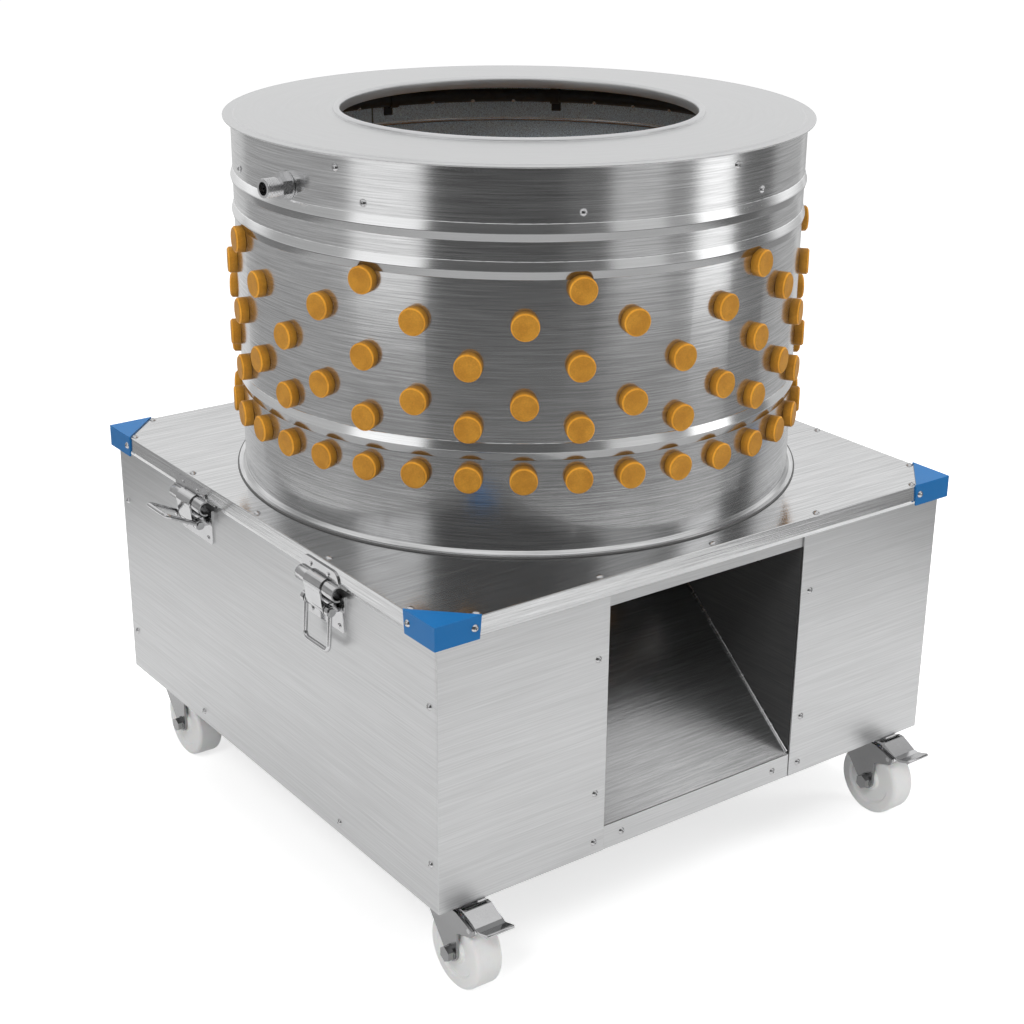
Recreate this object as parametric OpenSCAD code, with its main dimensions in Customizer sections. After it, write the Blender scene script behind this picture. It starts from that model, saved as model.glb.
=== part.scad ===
// Drum poultry plucker: a perforated drum with rubber fingers stands on a hinged deck over a cabinet
// on casters, where a belt-driven disc of fingers turns and a chute lets the feathers out.
// Millimetres. The origin is on the floor below the drum's axis, +X to the right, +Y to the rear, +Z up.

/* [Cabinet] */
// Width of the cabinet over its side panels
cabinet_w = 604; // [596:1:640]
// Depth of the cabinet over its front and rear panels
cabinet_d = 604; // [596:1:640]
// Height of the panels' lower edges above the floor
panel_bottom_z = 90; // [89:0.5:92]
// Height of the deck's top face above the floor
deck_top_z = 370; // [366:1:400]
// Thickness of the cabinet's sheet
sheet = 2; // [1.5:0.1:2.5]
// Width of the frame's tubes
tube = 20; // [16:1:22]
// Height of the bottom rails
rail_h = 15; // [12:1:18]
// Height of the top rails
top_rail_h = 24; // [20:1:26]
// Distance from the panels' lower edges up to the bottom rails
rail_lift = 5; // [4:0.5:7]
// Diameter of a panel screw's head
screw_d = 7; // [5:0.5:9]
// Height of a panel screw's head
screw_h = 2.2; // [1.5:0.1:3]

/* [Feather chute] */
// Width of the opening in the front
chute_w = 236; // [200:1:260]
// Height of the sill below the opening
sill_h = 25; // [22:1:30]
// How far the sill lies behind the front panels
sill_recess = 0.8; // [0.4:0.1:1]
// Angle of the chute's floor
chute_angle = 39; // [38:0.5:44]
// Thickness of the chute's and the pan's sheet
chute_sheet = 1.5; // [1:0.1:2]
// Height of the feather pan's floor above the floor
pan_z = 300; // [296:1:304]
// Distance of the feather pan's wall from the cabinet's sides
pan_margin = 32; // [28:1:35]

/* [Deck] */
// How far the deck reaches past the cabinet on each side
deck_overhang = 5; // [4.5:0.5:8]
// Thickness of the deck's sheet
deck_sheet = 2; // [1.5:0.1:2]
// Height of the deck's rim
rim_h = 20; // [19:0.5:22]
// Height of the slanted hem at the rim's lower edge
hem_h = 5.5; // [4:0.5:7]
// How far the hem draws in
hem_in = 2.2; // [1:0.1:2.5]
// Thickness of the frame below the deck's sheet
deck_frame_h = 6; // [5:0.5:7]
// Width of the bars of that frame
deck_frame_w = 16; // [12:1:18]
// How far the edge of the hole below the drum stands in from the pan's wall
deck_hole_in = 2; // [0:0.5:5]
// Distance of the outer deck screws from the deck's corners
deck_screw_end = 45; // [40:1:62]
// Length of a corner cap along the rim
cap_leg = 46; // [36:1:50]
// Height of a corner cap
cap_h = 22; // [21:0.5:24]
// Thickness of a corner cap
cap_t = 1.5; // [1:0.1:2]

/* [Drum] */
// Outer diameter of the drum
drum_d = 550; // [546:1:556]
// Height of the drum's shell above the deck
drum_h = 347.5; // [340:0.5:360]
// Thickness of the drum's sheet
drum_sheet = 1.5; // [1.2:0.1:2]
// Width of the flange at the drum's foot
foot_flange = 7; // [5:0.5:9]
// Height of the bead between the lowest rows of fingers, as a share of the drum's
low_bead = 0.282; // [0.278:0.001:0.286]
// Half the height of that bead
low_bead_half = 6; // [4:0.5:7]
// Height of the bead above the fingers, as a share of the drum's
mid_bead = 0.7468; // [0.74:0.0004:0.76]
// Height of the bead below the screws, as a share of the drum's
top_bead = 0.8403; // [0.826:0.0001:0.85]
// Half the height of the two upper beads
bead_half = 3; // [2:0.5:3]
// How far the beads stand out
bead_rise = 2.2; // [1:0.1:3]
// Diameter of the lid
lid_d = 565; // [560:1:572]
// Diameter of the loading mouth
mouth_d = 343.4; // [330:0.2:356]
// Thickness of the lid's sheet
lid_sheet = 1.5; // [1:0.1:2]
// Step between the lid's edge and its raised middle
lid_step = 1; // [0.6:0.1:1.4]
// Width of the lid's flat edge
lid_edge = 10.5; // [9.5:0.5:11]
// Radius of the roll around the mouth
mouth_roll = 3.5; // [2.5:0.1:4.5]
// Depth of the wall below that roll
mouth_wall = 8; // [6:0.5:12]
// Depth of the lower screws below the drum's top
drum_screw_drop = 38.5; // [36:0.5:41]
// Depth of the lid's screws below the drum's top
lid_screw_drop = 11.5; // [9.5:0.5:15]

/* [Fingers] */
// Columns of fingers around the drum
finger_columns = 36; // [36:4:36]
// Height of the closed ring of fingers, as a share of the drum's
ring_row = 0.21; // [0.207:0.001:0.218]
// Height of the first open row, as a share of the drum's
row_1 = 0.344; // [0.342:0.001:0.35]
// Height of the second open row, as a share of the drum's
row_2 = 0.406; // [0.4:0.001:0.42]
// Height of the third open row, as a share of the drum's
row_3 = 0.504; // [0.49:0.001:0.518]
// Height of the fourth open row, as a share of the drum's
row_4 = 0.6115; // [0.594:0.0005:0.616]
// Gap between the top row's heads and the bead above them
top_row_gap = 0.5; // [0.5:0.5:4]
// Diameter of a finger's head
head_d = 25; // [22:0.5:25.5]
// Thickness of a finger's head
head_t = 9; // [6:0.5:10]
// Diameter of a finger's neck in its hole
neck_d = 18.8; // [17:0.2:19.6]
// Diameter of a finger behind its neck
collar_d = 22; // [20.5:0.5:23]
// Length of a finger behind the sheet
finger_l = 84; // [70:1:88]
// Diameter of a finger at its root
finger_root_d = 19; // [17:0.5:20]
// Diameter of a finger at its tip
finger_tip_d = 14; // [11:0.5:15]
// Rings on a finger
finger_rings = 6; // [4:1:8]

/* [Disc and drive] */
// Distance between the feather disc's edge and the pan's wall
disc_gap = 20; // [14:1:30]
// Thickness of the feather disc
disc_t = 4; // [3:0.5:5]
// Height of the disc's underside above the pan's floor
disc_lift = 39; // [38:0.5:42]
// Diameter of the main shaft
shaft_d = 30; // [25:1:34]
// Diameter of the belt's path on the driven pulley
driven_d = 192; // [180:1:200]
// Diameter of the belt's path on the motor's pulley
motor_pulley_d = 48; // [46:1:60]
// Distance from the main shaft to the motor's shaft
motor_y = 168; // [160:1:176]
// Diameter of the motor's shaft
motor_shaft_d = 19; // [16:1:22]
// Diameter of the motor's body
motor_d = 124; // [110:1:130]
// Height of the motor over its cowl
motor_h = 164; // [150:1:168]
// Width of the belt at its back
belt_w = 13; // [11:0.5:14]
// Depth of the belt
belt_t = 8; // [7:0.5:9]

/* [Latches and hinges] */
// Distance of a latch from the middle of the left side
latch_y = 125; // [110:1:140]
// Width of a latch's keeper and base
latch_w = 64; // [58:1:70]
// Width of a latch's claw
claw_w = 28; // [24:1:30]
// Outer radius of the keeper's roll
roll_r = 7.5; // [7:0.1:8]
// Depth of the roll's middle below the deck's top
roll_drop = 24.5; // [23:0.5:25]
// Depth of the lever's pin below the deck's top
pin_drop = 44; // [43:0.5:46]
// Distance of the lever's pin from the cabinet
pin_out = 9; // [8.5:0.5:10]
// Diameter of the lever's pin
latch_pin_d = 5; // [4:0.2:5.4]
// Diameter of the lever's wire
wire_d = 4.5; // [4:0.1:5]
// Width of the lever's wire loop
bail_w = 46; // [44:0.5:52]
// Length of the lever's wire loop
bail_l = 39; // [34:0.5:44]
// Angle at which the front lever hangs away from the cabinet
front_lever_angle = 4; // [2:1:8]
// Angle to which the rear lever is raised
rear_lever_angle = 116; // [100:1:124]
// Distance of a hinge from the middle of the right side
hinge_y = 170; // [150:1:190]
// Length of a hinge
hinge_l = 70; // [60:1:80]
// Radius of a hinge's barrel
barrel_r = 5.5; // [5:0.1:6]

/* [Casters] */
// Distance of the swivel axes from the cabinet's sides
caster_inset = 38; // [37:0.5:42]
// Diameter of a wheel
wheel_d = 75; // [70:0.5:76]
// Width of a wheel's tread
wheel_w = 28; // [24:1:29]
// Distance from the swivel axis forward to the axle
trail = 26; // [22:1:28]
// Side of a caster's plate
plate_w = 70; // [64:1:72]
// Diameter of the axle
axle_d = 8; // [6:0.5:10]
// Thickness of the fork's steel
fork_t = 2.5; // [2:0.1:3]

/* [Hidden] */
$fn = 48;

// Fits: a seat on the same body, a running fit, and the gap between parts that pass each other
seat_gap = 0.3;
run_gap = 0.05;
pass_gap = 0.5;
eps = 0.01;

// Finishes
steel = [0.78, 0.79, 0.80];
dark_steel = [0.45, 0.46, 0.48];
blue = [0.16, 0.50, 0.78];
ochre = [0.80, 0.58, 0.20];
nylon = [0.93, 0.93, 0.91];
black = [0.10, 0.10, 0.11];
grey_paint = [0.35, 0.40, 0.44];
red = [0.75, 0.12, 0.10];
green = [0.10, 0.55, 0.20];

// Cabinet
half_w = cabinet_w / 2;
half_d = cabinet_d / 2;
frame_x = half_w - sheet;
frame_y = half_d - sheet;
rail_z = panel_bottom_z + rail_lift;
rail_top = rail_z + rail_h;
deck_under = deck_top_z - deck_sheet;
deck_frame_z = deck_under - deck_frame_h;
frame_top = deck_frame_z - seat_gap;
top_rail_z = frame_top - top_rail_h;
sill_z = panel_bottom_z + sill_h;
opening_post_x = chute_w / 2 + chute_sheet + seat_gap;

// Chute and pan
chute_wall_x = chute_w / 2;
chute_foot_y = -frame_y;
pan_top = pan_z + chute_sheet;
chute_top_y = chute_foot_y + (pan_z - sill_z) / tan(chute_angle);
pan_r = min(half_w, half_d) - pan_margin;
pan_ring_y = sqrt(pow(pan_r + chute_sheet, 2) - pow(chute_wall_x, 2));
pan_hole_r = shaft_d / 2 + 7;
ring_seat = 0.1;

// Deck
deck_x = half_w + deck_overhang;
deck_y = half_d + deck_overhang;
deck_hole_r = pan_r - deck_hole_in;
deck_screw_pitch_x = (deck_x - deck_screw_end) / 2;
deck_screw_pitch_y = (deck_y - deck_screw_end) / 2;
rim_z = deck_top_z - rim_h;
screw_edge = 5.5;
cap_face_taper = 2;
cap_screw_in = 7;

// Drum, measured from the deck's top
drum_r = drum_d / 2;
drum_ri = drum_r - drum_sheet;
drum_top = deck_top_z + drum_h;
lid_flat_z = drum_top + lid_sheet;
lid_top = lid_flat_z + lid_step;
mouth_r = mouth_d / 2;
lid_collar_h = 18;
lid_collar_gap = 0.2;
bead_steps = 6;
low_bead_z = low_bead * drum_h;
mid_bead_z = mid_bead * drum_h;
top_bead_z = top_bead * drum_h;
drum_screw_z = drum_h - drum_screw_drop;
lid_screw_z = drum_h - lid_screw_drop;

// Fingers
finger_az = -125;
column_step = 360 / finger_columns;
neck_gap = 0.2;
head_seat = 0.05;
collar_seat = drum_ri - sqrt(pow(drum_ri, 2) - pow(collar_d / 2, 2)) + head_seat;
finger_edge = 1.6;
collar_l = 6;
ring_rise = 0.9;
ring_half = 1.6;
top_row_z = mid_bead_z - bead_half - head_d / 2 - top_row_gap;
// Each row has its height, the columns from one finger to the next, and its first column
finger_rows = [
  [ring_row * drum_h, 1, 0], [row_1 * drum_h, 2, 1], [row_2 * drum_h, 2, 0], [row_3 * drum_h, 2, 1],
  [row_4 * drum_h, 2, 0], [top_row_z, 4, 1]
];
// Nine clips hold the hose, each by one of the lower screws, in line with the top row
clip_count = 9;
clip_az = -115;
// The lid's screws stand in two opposite pairs
lid_screw_az = [-161, -83, 19, 97];

// Water
hose_r = 7;
hose_ring_r = drum_ri - 4.5 - hose_r;
hose_drop = 27.5;
hose_z = drum_top - hose_drop;
clip_w = 10;
clip_t = 1.3;
inlet_az = -174;
inlet_drop = 35.5;
inlet_z = drum_top - inlet_drop;
thread_r = 8.3;
thread_l = 15;
inlet_bore_r = 6;
inlet_hex = 20;
inlet_hex_l = 8;
inlet_washer_r = 13;
inlet_washer_l = 2;

// Disc, measured from the pan's floor
disc_r = pan_r - disc_gap;
disc_z = pan_top + disc_lift;
disc_top = disc_z + disc_t;
disc_finger_l = 85;
// Each circle of disc fingers has its radius, its count and its first angle
disc_circles = [[0.3 * disc_r, 6, -15], [0.54 * disc_r, 12, 0], [0.78 * disc_r, 15, 3]];
paddle_count = 3;
paddle_az = 15;
paddle_t = 3;
paddle_gap = 2.5;
paddle_seat = 0.1;
hub_r = 34;
hub_h = 22;

// Drive
drive_z = rail_top;
channel_w = 30;
channel_h = 30;
channel_t = 4;
channel_y = 55;
bearing_plate_t = 5;
bearing_half = 43;
bearing_flange = 10;
bearing_h = 22;
bearing_boss_r = 31;
bearing_bolt_in = 11;
bearing_bolt_r = 5;
pulley_h = 17;
pulley_z = rail_top - 1.5 - pulley_h;
belt_mid_z = pulley_z + pulley_h / 2;
pulley_lip = 5;
motor_plate_t = 6;
motor_z = drive_z + motor_plate_t;
motor_flange_r = motor_d / 2 + 16;
motor_flange_t = 12;
motor_fins = 20;
fin_h = 6;
fin_t = 2.5;
cowl_h = 42;

// Latch, measured from the cabinet's left face outwards
keeper_t = 1.5;
keeper_face = deck_overhang + keeper_t;
roll_z = deck_top_z - roll_drop;
roll_wall = 1.5;
latch_pin_z = deck_top_z - pin_drop;
latch_base_t = 1.5;
latch_base_drop = 20;
latch_base_rise = 16;
lug_t = 2;
lug_r = 5;
lug_in = claw_w / 2 + pass_gap;
eye_r = 5;
eye_t = wire_d + 0.4;
eye_root = 0.6;
pin_head_r = 3.6;
pin_head_t = 1.5;
claw_t = 1.5;
claw_reach = 87;
claw_tuck = 6;

// Hinge
hinge_out = deck_overhang + barrel_r + 0.5;
hinge_z = rim_z - barrel_r;
leaf_t = 2;
leaf_h = 30;
upper_leaf_h = 14;
hinge_pin_r = 3;
knuckles = 5;
knuckle_gap = 0.4;

// Caster
caster_x = half_w - caster_inset;
caster_y = half_d - caster_inset;
wheel_r = wheel_d / 2;
plate_t = 3;
plate_z = rail_z - plate_t;
race_r = 22;
crown_t = 3;
crown_z = wheel_d + 5;
race_gap = seat_gap;
race_z = plate_z - 3;
king_r = 5;
king_head_r = 8;
king_head_h = 3;
wheel_gap = 1;
leg_x = wheel_w / 2 + wheel_gap;
hub_d = 22;
axle_boss_r = 9;
crown_rear = 22;
crown_front = 25;
lobe_y = 53;
lobe_z = 74;
lobe_r = 6;
pedal_pin_d = 5;
pedal_t = 2.5;
pedal_w = 2 * leg_x - 2 * pass_gap;
pedal_top = 87.5;
shoe_gap = 0.4;
hex_fn = 6;

// Switch box on the back panel
box_w = 96;
box_h = 70;
box_d = 38;
box_x = 170;
box_z = 260;
box_r = 6;
button_r = 9;
button_x = 20;
button_out = 6;
button_in = 10;
button_collar_r = 13;
button_collar_t = 2;
button_travel = 3;
gland_z = 180;
gland_r = 12;
gland_bore_r = 4.5;
gland_l = 24;
vent_rows = 7;
vent_w = 90;
vent_h = 5;
vent_pitch = 14;

function arc_points(cx, cy, r, from, to, n) =
  [for (i = [0:n]) let (a = from + (to - from) * i / n) [cx + r * cos(a), cy + r * sin(a)]];

function rounded_box(w, h, r, n = 5) = concat(
  arc_points(w / 2 - r, h / 2 - r, r, 0, 90, n), arc_points(-w / 2 + r, h / 2 - r, r, 90, 180, n),
  arc_points(-w / 2 + r, -h / 2 + r, r, 180, 270, n), arc_points(w / 2 - r, -h / 2 + r, r, 270, 360, n));

// A bead's outline on a wall of radius r, from below to above
function bead_points(r, z, half) =
  [for (i = [0:bead_steps]) let (t = -1 + 2 * i / bead_steps) [r + bead_rise * (1 + cos(180 * t)) / 2, z + half * t]];

function reversed(list) = [for (i = [len(list) - 1:-1:0]) list[i]];

// Half the outline of a rubber finger: the tip is below and the head above the sheet at height 0
function finger_outline(neck_l, body_l) = let (
  tip = -(neck_l + body_l),
  root = -(neck_l + collar_l),
  span = root - tip - finger_edge,
  ridge = [for (i = [0:finger_rings - 1]) let (
    s = (i + 0.6) / (finger_rings + 0.4),
    r = (finger_tip_d + (finger_root_d - finger_tip_d) * s) / 2,
    a = tip + finger_edge + span * s) each [[r, a - ring_half], [r + ring_rise, a], [r, a + ring_half]]]
) concat(
  [[0, tip], [finger_tip_d / 2 - finger_edge, tip], [finger_tip_d / 2, tip + finger_edge]], ridge,
  [[finger_root_d / 2, root], [collar_d / 2, root], [collar_d / 2, -neck_l], [neck_d / 2, -neck_l],
   [neck_d / 2, 0], [head_d / 2, 0], [head_d / 2, head_t - finger_edge], [head_d / 2 - finger_edge, head_t],
   [0, head_t]]);

module finger(neck_l, body_l) {
  rotate_extrude($fn = 32) polygon(finger_outline(neck_l, body_l));
}

// Turns a profile drawn as (y, z) into a solid along x, and one drawn as (x, z) into a solid along y
module along_x(l) {
  rotate([90, 0, 90]) linear_extrude(l, center = true) children();
}

module along_y(l) {
  rotate([90, 0, 0]) linear_extrude(l, center = true) children();
}

module screw_head() {
  sphere_r = (pow(screw_d / 2, 2) + pow(screw_h, 2)) / (2 * screw_h);
  intersection() {
    cylinder(d = screw_d, h = screw_h + 1);
    translate([0, 0, screw_h - sphere_r]) sphere(sphere_r);
  }
}

module bar(x0, x1, y0, y1, z0, z1) {
  translate([x0, y0, z0]) cube([x1 - x0, y1 - y0, z1 - z0]);
}

module hex_head(across, h) {
  cylinder(d = across / cos(30), h = h, $fn = hex_fn);
}

// Cabinet

module base_frame() {
  color(steel) {
    for (s = [-1, 1]) {
      bar(-frame_x, frame_x, s * (frame_y - tube / 2) - tube / 2, s * (frame_y - tube / 2) + tube / 2, rail_z, rail_top);
      bar(-frame_x, frame_x, s * (frame_y - tube / 2) - tube / 2, s * (frame_y - tube / 2) + tube / 2, top_rail_z, frame_top);
      side_x = s * (frame_x - tube / 2);
      bar(side_x - tube / 2, side_x + tube / 2, -frame_y, frame_y, rail_z, rail_top);
      bar(side_x - tube / 2, side_x + tube / 2, -frame_y, frame_y, top_rail_z, frame_top);
      bar(side_x - tube / 2, side_x + tube / 2, -frame_y, frame_y, pan_z - rail_h, pan_z);
      for (t = [-1, 1])
        bar(side_x - tube / 2, side_x + tube / 2, t * (frame_y - tube / 2) - tube / 2,
            t * (frame_y - tube / 2) + tube / 2, rail_z, frame_top);
      post_x = s * (opening_post_x + tube / 2);
      bar(post_x - tube / 2, post_x + tube / 2, -frame_y, -frame_y + tube, rail_z, frame_top);
    }
  }
}

module side_panel(s) {
  color(steel) bar(s * (half_w - sheet / 2) - sheet / 2, s * (half_w - sheet / 2) + sheet / 2,
                   -frame_y, frame_y, panel_bottom_z, frame_top);
}

module left_panel() {
  side_panel(-1);
}

module right_panel() {
  side_panel(1);
}

module back_panel() {
  vent_x = -box_x / 2;
  color(steel) difference() {
    bar(-half_w, half_w, frame_y, half_d, panel_bottom_z, frame_top);
    for (i = [0:vent_rows - 1])
      translate([vent_x - vent_w / 2, frame_y - 1, rail_top + 30 + i * vent_pitch])
        cube([vent_w, sheet + 2, vent_h]);
    translate([box_x, frame_y - 1, gland_z]) rotate([-90, 0, 0]) cylinder(r = gland_bore_r + 1.5, h = sheet + 2);
  }
}

module front_panel(s) {
  inner = s * chute_w / 2;
  outer = s * half_w;
  color(steel) bar(min(inner, outer), max(inner, outer), -half_d, -frame_y, panel_bottom_z, frame_top);
}

module front_left_panel() {
  front_panel(-1);
}

module front_right_panel() {
  front_panel(1);
}

module front_sill() {
  sill_gap = 0.4;
  color(steel) bar(-chute_w / 2 + sill_gap, chute_w / 2 - sill_gap, -half_d + sill_recess, -frame_y,
                   panel_bottom_z, sill_z);
}

module chute() {
  drop = [chute_sheet * sin(chute_angle), -chute_sheet * cos(chute_angle)];
  foot = [chute_foot_y, sill_z];
  head = [chute_top_y, pan_z];
  color(steel) {
    along_x(chute_w) polygon([foot, head, head + drop, foot + drop]);
    for (s = [-1, 1])
      translate([s * (chute_wall_x + chute_sheet / 2), 0, 0]) along_x(chute_sheet)
        polygon([foot + drop, [chute_foot_y, top_rail_z], [-pan_ring_y, top_rail_z],
                 [-pan_ring_y, pan_top], [chute_top_y, pan_top], head + drop]);
  }
}

module feather_pan() {
  notch_x = chute_wall_x + chute_sheet;
  pan_half_y = frame_y - tube - seat_gap;
  color(steel) difference() {
    bar(-frame_x, frame_x, -pan_half_y, pan_half_y, pan_z, pan_top);
    translate([0, 0, pan_z - 1]) cylinder(r = pan_hole_r, h = 10);
    bar(-notch_x, notch_x, -half_d, chute_top_y, pan_z - 1, pan_top + 1);
  }
}

// The ring on the pan's floor is open above the chute
module pan_ring() {
  notch_x = chute_wall_x + chute_sheet;
  foot_z = pan_top + ring_seat;
  color(steel) difference() {
    translate([0, 0, foot_z]) cylinder(r = pan_r + chute_sheet, h = deck_frame_z - foot_z, $fn = 96);
    translate([0, 0, pan_z]) cylinder(r = pan_r, h = deck_top_z, $fn = 96);
    bar(-notch_x, notch_x, -half_d, -pan_ring_y / 2, pan_z, top_rail_z);
  }
}

// Screws: each place has x, y, z and the direction in which the head looks
module screw_on_side(s, y, z) {
  translate([s * half_w, y, z]) rotate([0, s * 90, 0]) screw_head();
}

module screw_on_front(x, z, recess = 0) {
  translate([x, -half_d + recess, z]) rotate([90, 0, 0]) screw_head();
}

module screw_on_back(x, z) {
  translate([x, half_d, z]) rotate([-90, 0, 0]) screw_head();
}

module panel_screws() {
  post_y = frame_y - tube / 2;
  low_z = rail_z + rail_h / 2;
  lower_lift = 46;
  middle_lift = 64;
  upper_lift = 200;
  row_y = 136;
  sill_screw_in = 22;
  lower_z = panel_bottom_z + lower_lift;
  middle_z = panel_bottom_z + middle_lift;
  upper_z = panel_bottom_z + upper_lift;
  sill_x = chute_w / 2 - sill_screw_in;
  post_x = opening_post_x + tube / 2;
  color(steel) {
    for (s = [-1, 1], t = [-1, 1]) {
      screw_on_side(s, t * post_y, lower_z);
      screw_on_side(s, t * post_y, upper_z);
      screw_on_side(s, t * row_y, low_z);
      screw_on_back(t * (frame_x - tube / 2), s < 0 ? lower_z : upper_z);
    }
    for (s = [-1, 1]) {
      screw_on_front(s * post_x, low_z);
      screw_on_front(s * post_x, middle_z);
      screw_on_front(s * post_x, upper_z);
      screw_on_front(s * sill_x, low_z, sill_recess);
      screw_on_back(s * row_y, low_z);
    }
  }
}

// Drive

module channel_section() {
  difference() {
    translate([0, channel_h / 2]) square([channel_w, channel_h], center = true);
    translate([0, (channel_h - channel_t) / 2 - eps]) square([channel_w - 2 * channel_t, channel_h - channel_t], center = true);
  }
}

module drive_mount() {
  plate_x = 70;
  plate_far = frame_y;
  motor_plate_x = motor_flange_r + 6;
  rear_channel_y = channel_y + channel_w;
  color(steel) difference() {
    union() {
      for (s = [-1, 1])
        translate([0, s * (channel_y + channel_w / 2), drive_z]) along_x(2 * frame_x) channel_section();
      bar(-plate_x, plate_x, -rear_channel_y, rear_channel_y, drive_z + channel_h, drive_z + channel_h + bearing_plate_t);
      bar(-motor_plate_x, motor_plate_x, rear_channel_y, plate_far, drive_z, motor_z);
    }
    translate([0, 0, drive_z]) cylinder(r = pan_hole_r, h = channel_h + 10);
    translate([0, motor_y, drive_z - 1]) cylinder(r = motor_shaft_d / 2 + 6, h = motor_plate_t + 2);
    for (s = [-1, 1], t = [-1, 1])
      translate([s * (bearing_half - bearing_bolt_in), t * (bearing_half - bearing_bolt_in), drive_z + channel_h - 1])
        cylinder(r = bearing_bolt_r, h = bearing_plate_t + 2);
  }
}

// A square flange bearing that stands on its flange
module flange_bearing() {
  difference() {
    union() {
      linear_extrude(bearing_flange) polygon(rounded_box(2 * bearing_half, 2 * bearing_half, 10));
      cylinder(r1 = bearing_boss_r + 2, r2 = bearing_boss_r, h = bearing_h);
    }
    translate([0, 0, -1]) cylinder(d = shaft_d + 2 * run_gap, h = bearing_h + 2);
    for (s = [-1, 1], t = [-1, 1])
      translate([s * (bearing_half - bearing_bolt_in), t * (bearing_half - bearing_bolt_in), -1])
        cylinder(r = bearing_bolt_r, h = bearing_flange + 2);
  }
}

module shaft_bearings() {
  color(dark_steel) {
    translate([0, 0, drive_z + channel_h + bearing_plate_t]) flange_bearing();
    translate([0, 0, pan_z]) mirror([0, 0, 1]) flange_bearing();
  }
}

module motor_body() {
  barrel_h = motor_h - cowl_h;
  color(grey_paint) translate([0, motor_y, motor_z]) difference() {
    union() {
      cylinder(r = motor_flange_r, h = motor_flange_t);
      cylinder(r = motor_d / 2 - fin_h, h = barrel_h);
      for (i = [0:motor_fins - 1])
        rotate([0, 0, i * 360 / motor_fins])
          translate([motor_d / 2 - fin_h - 2, -fin_t / 2, motor_flange_t - 1]) cube([fin_h + 2, fin_t, barrel_h - motor_flange_t - 4]);
    }
    translate([0, 0, -1]) cylinder(d = motor_shaft_d + 2 * run_gap, h = 41);
  }
}

module motor_cowl() {
  wall = 2;
  slot_count = 12;
  over_fins = 12;
  inner_r = motor_d / 2 + seat_gap;
  color(grey_paint) translate([0, motor_y, motor_z + motor_h - cowl_h]) difference() {
    translate([0, 0, -over_fins]) cylinder(r = inner_r + wall, h = cowl_h + over_fins);
    translate([0, 0, -over_fins - 1]) cylinder(r = inner_r, h = cowl_h + over_fins - wall + 1);
    for (i = [0:slot_count - 1])
      rotate([0, 0, i * 360 / slot_count]) translate([18, -2, cowl_h - 2 * wall]) cube([30, 4, 4 * wall]);
  }
}

module motor_terminal_box() {
  box_l = 70;
  box_across = 60;
  box_out = 34;
  gland_h = 9;
  color(grey_paint) translate([motor_d / 2, motor_y - box_across / 2, motor_z + motor_flange_t + 12]) {
    cube([box_out, box_across, box_l]);
    translate([box_out / 2, box_across / 2, -gland_h]) cylinder(r = 9, h = gland_h + eps);
  }
}

// The belt's section: the wide back is outside
function belt_section(grow) = [
  [-grow, -(belt_w / 2 + grow)], [-grow, belt_w / 2 + grow],
  [-belt_t - grow, belt_w / 2 - 2.5 + grow], [-belt_t - grow, -belt_w / 2 + 2.5 - grow]];

module belt_arc(r, from, to) {
  rotate([0, 0, from]) rotate_extrude(angle = to - from, $fn = 96)
    translate([r, 0]) polygon(belt_section(0));
}

module v_belt() {
  big = driven_d / 2 + belt_t / 2;
  small = motor_pulley_d / 2 + belt_t / 2;
  lean = asin((big - small) / motor_y);
  span = sqrt(pow(motor_y, 2) - pow(big - small, 2));
  color(black) translate([0, 0, belt_mid_z]) {
    belt_arc(big, 180 - lean, 360 + lean);
    translate([0, motor_y, 0]) belt_arc(small, lean, 180 - lean);
    for (s = [1, -1])
      mirror([s < 0 ? 1 : 0, 0, 0]) rotate([0, 0, lean]) translate([big, span / 2, 0])
        along_y(span) polygon(belt_section(0));
  }
}

module pulley(path_d, bore_d, web) {
  outer = path_d / 2 + belt_t / 2 + 1;
  groove_r = path_d / 2 + belt_t / 2;
  difference() {
    cylinder(r = outer, h = pulley_h, $fn = 96);
    translate([0, 0, pulley_h / 2]) rotate_extrude($fn = 96) translate([groove_r, 0])
      polygon(concat([[2, -(belt_w / 2 + seat_gap + 1)], [2, belt_w / 2 + seat_gap + 1]],
                     [for (i = [1:2]) belt_section(seat_gap)[i]], [belt_section(seat_gap)[3]],
                     [belt_section(seat_gap)[0]]));
    translate([0, 0, -1]) cylinder(d = bore_d, h = pulley_h + 2);
    if (web) for (i = [0:4])
      rotate([0, 0, i * 72]) translate([path_d / 4 + 8, 0, -1]) cylinder(r = 18, h = pulley_h + 2);
  }
}

module driven_pulley() {
  color(dark_steel) translate([0, 0, pulley_z]) pulley(driven_d, shaft_d + 2 * neck_gap, true);
}

module motor_pulley() {
  shaft_in = 36;
  color(dark_steel) translate([0, motor_y, 0]) {
    translate([0, 0, pulley_z]) pulley(motor_pulley_d, motor_shaft_d - 1, false);
    translate([0, 0, pulley_z]) cylinder(d = motor_shaft_d, h = motor_z + shaft_in - pulley_z);
  }
}

module main_shaft() {
  collar_h = 7;
  nut_h = 12;
  shaft_top = disc_top + 16;
  color(steel) {
    translate([0, 0, panel_bottom_z]) cylinder(d = shaft_d, h = shaft_top - panel_bottom_z);
    translate([0, 0, disc_z - hub_h - collar_h]) cylinder(d = shaft_d + 10, h = collar_h);
    translate([0, 0, disc_top]) hex_head(46, nut_h);
  }
}

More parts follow.
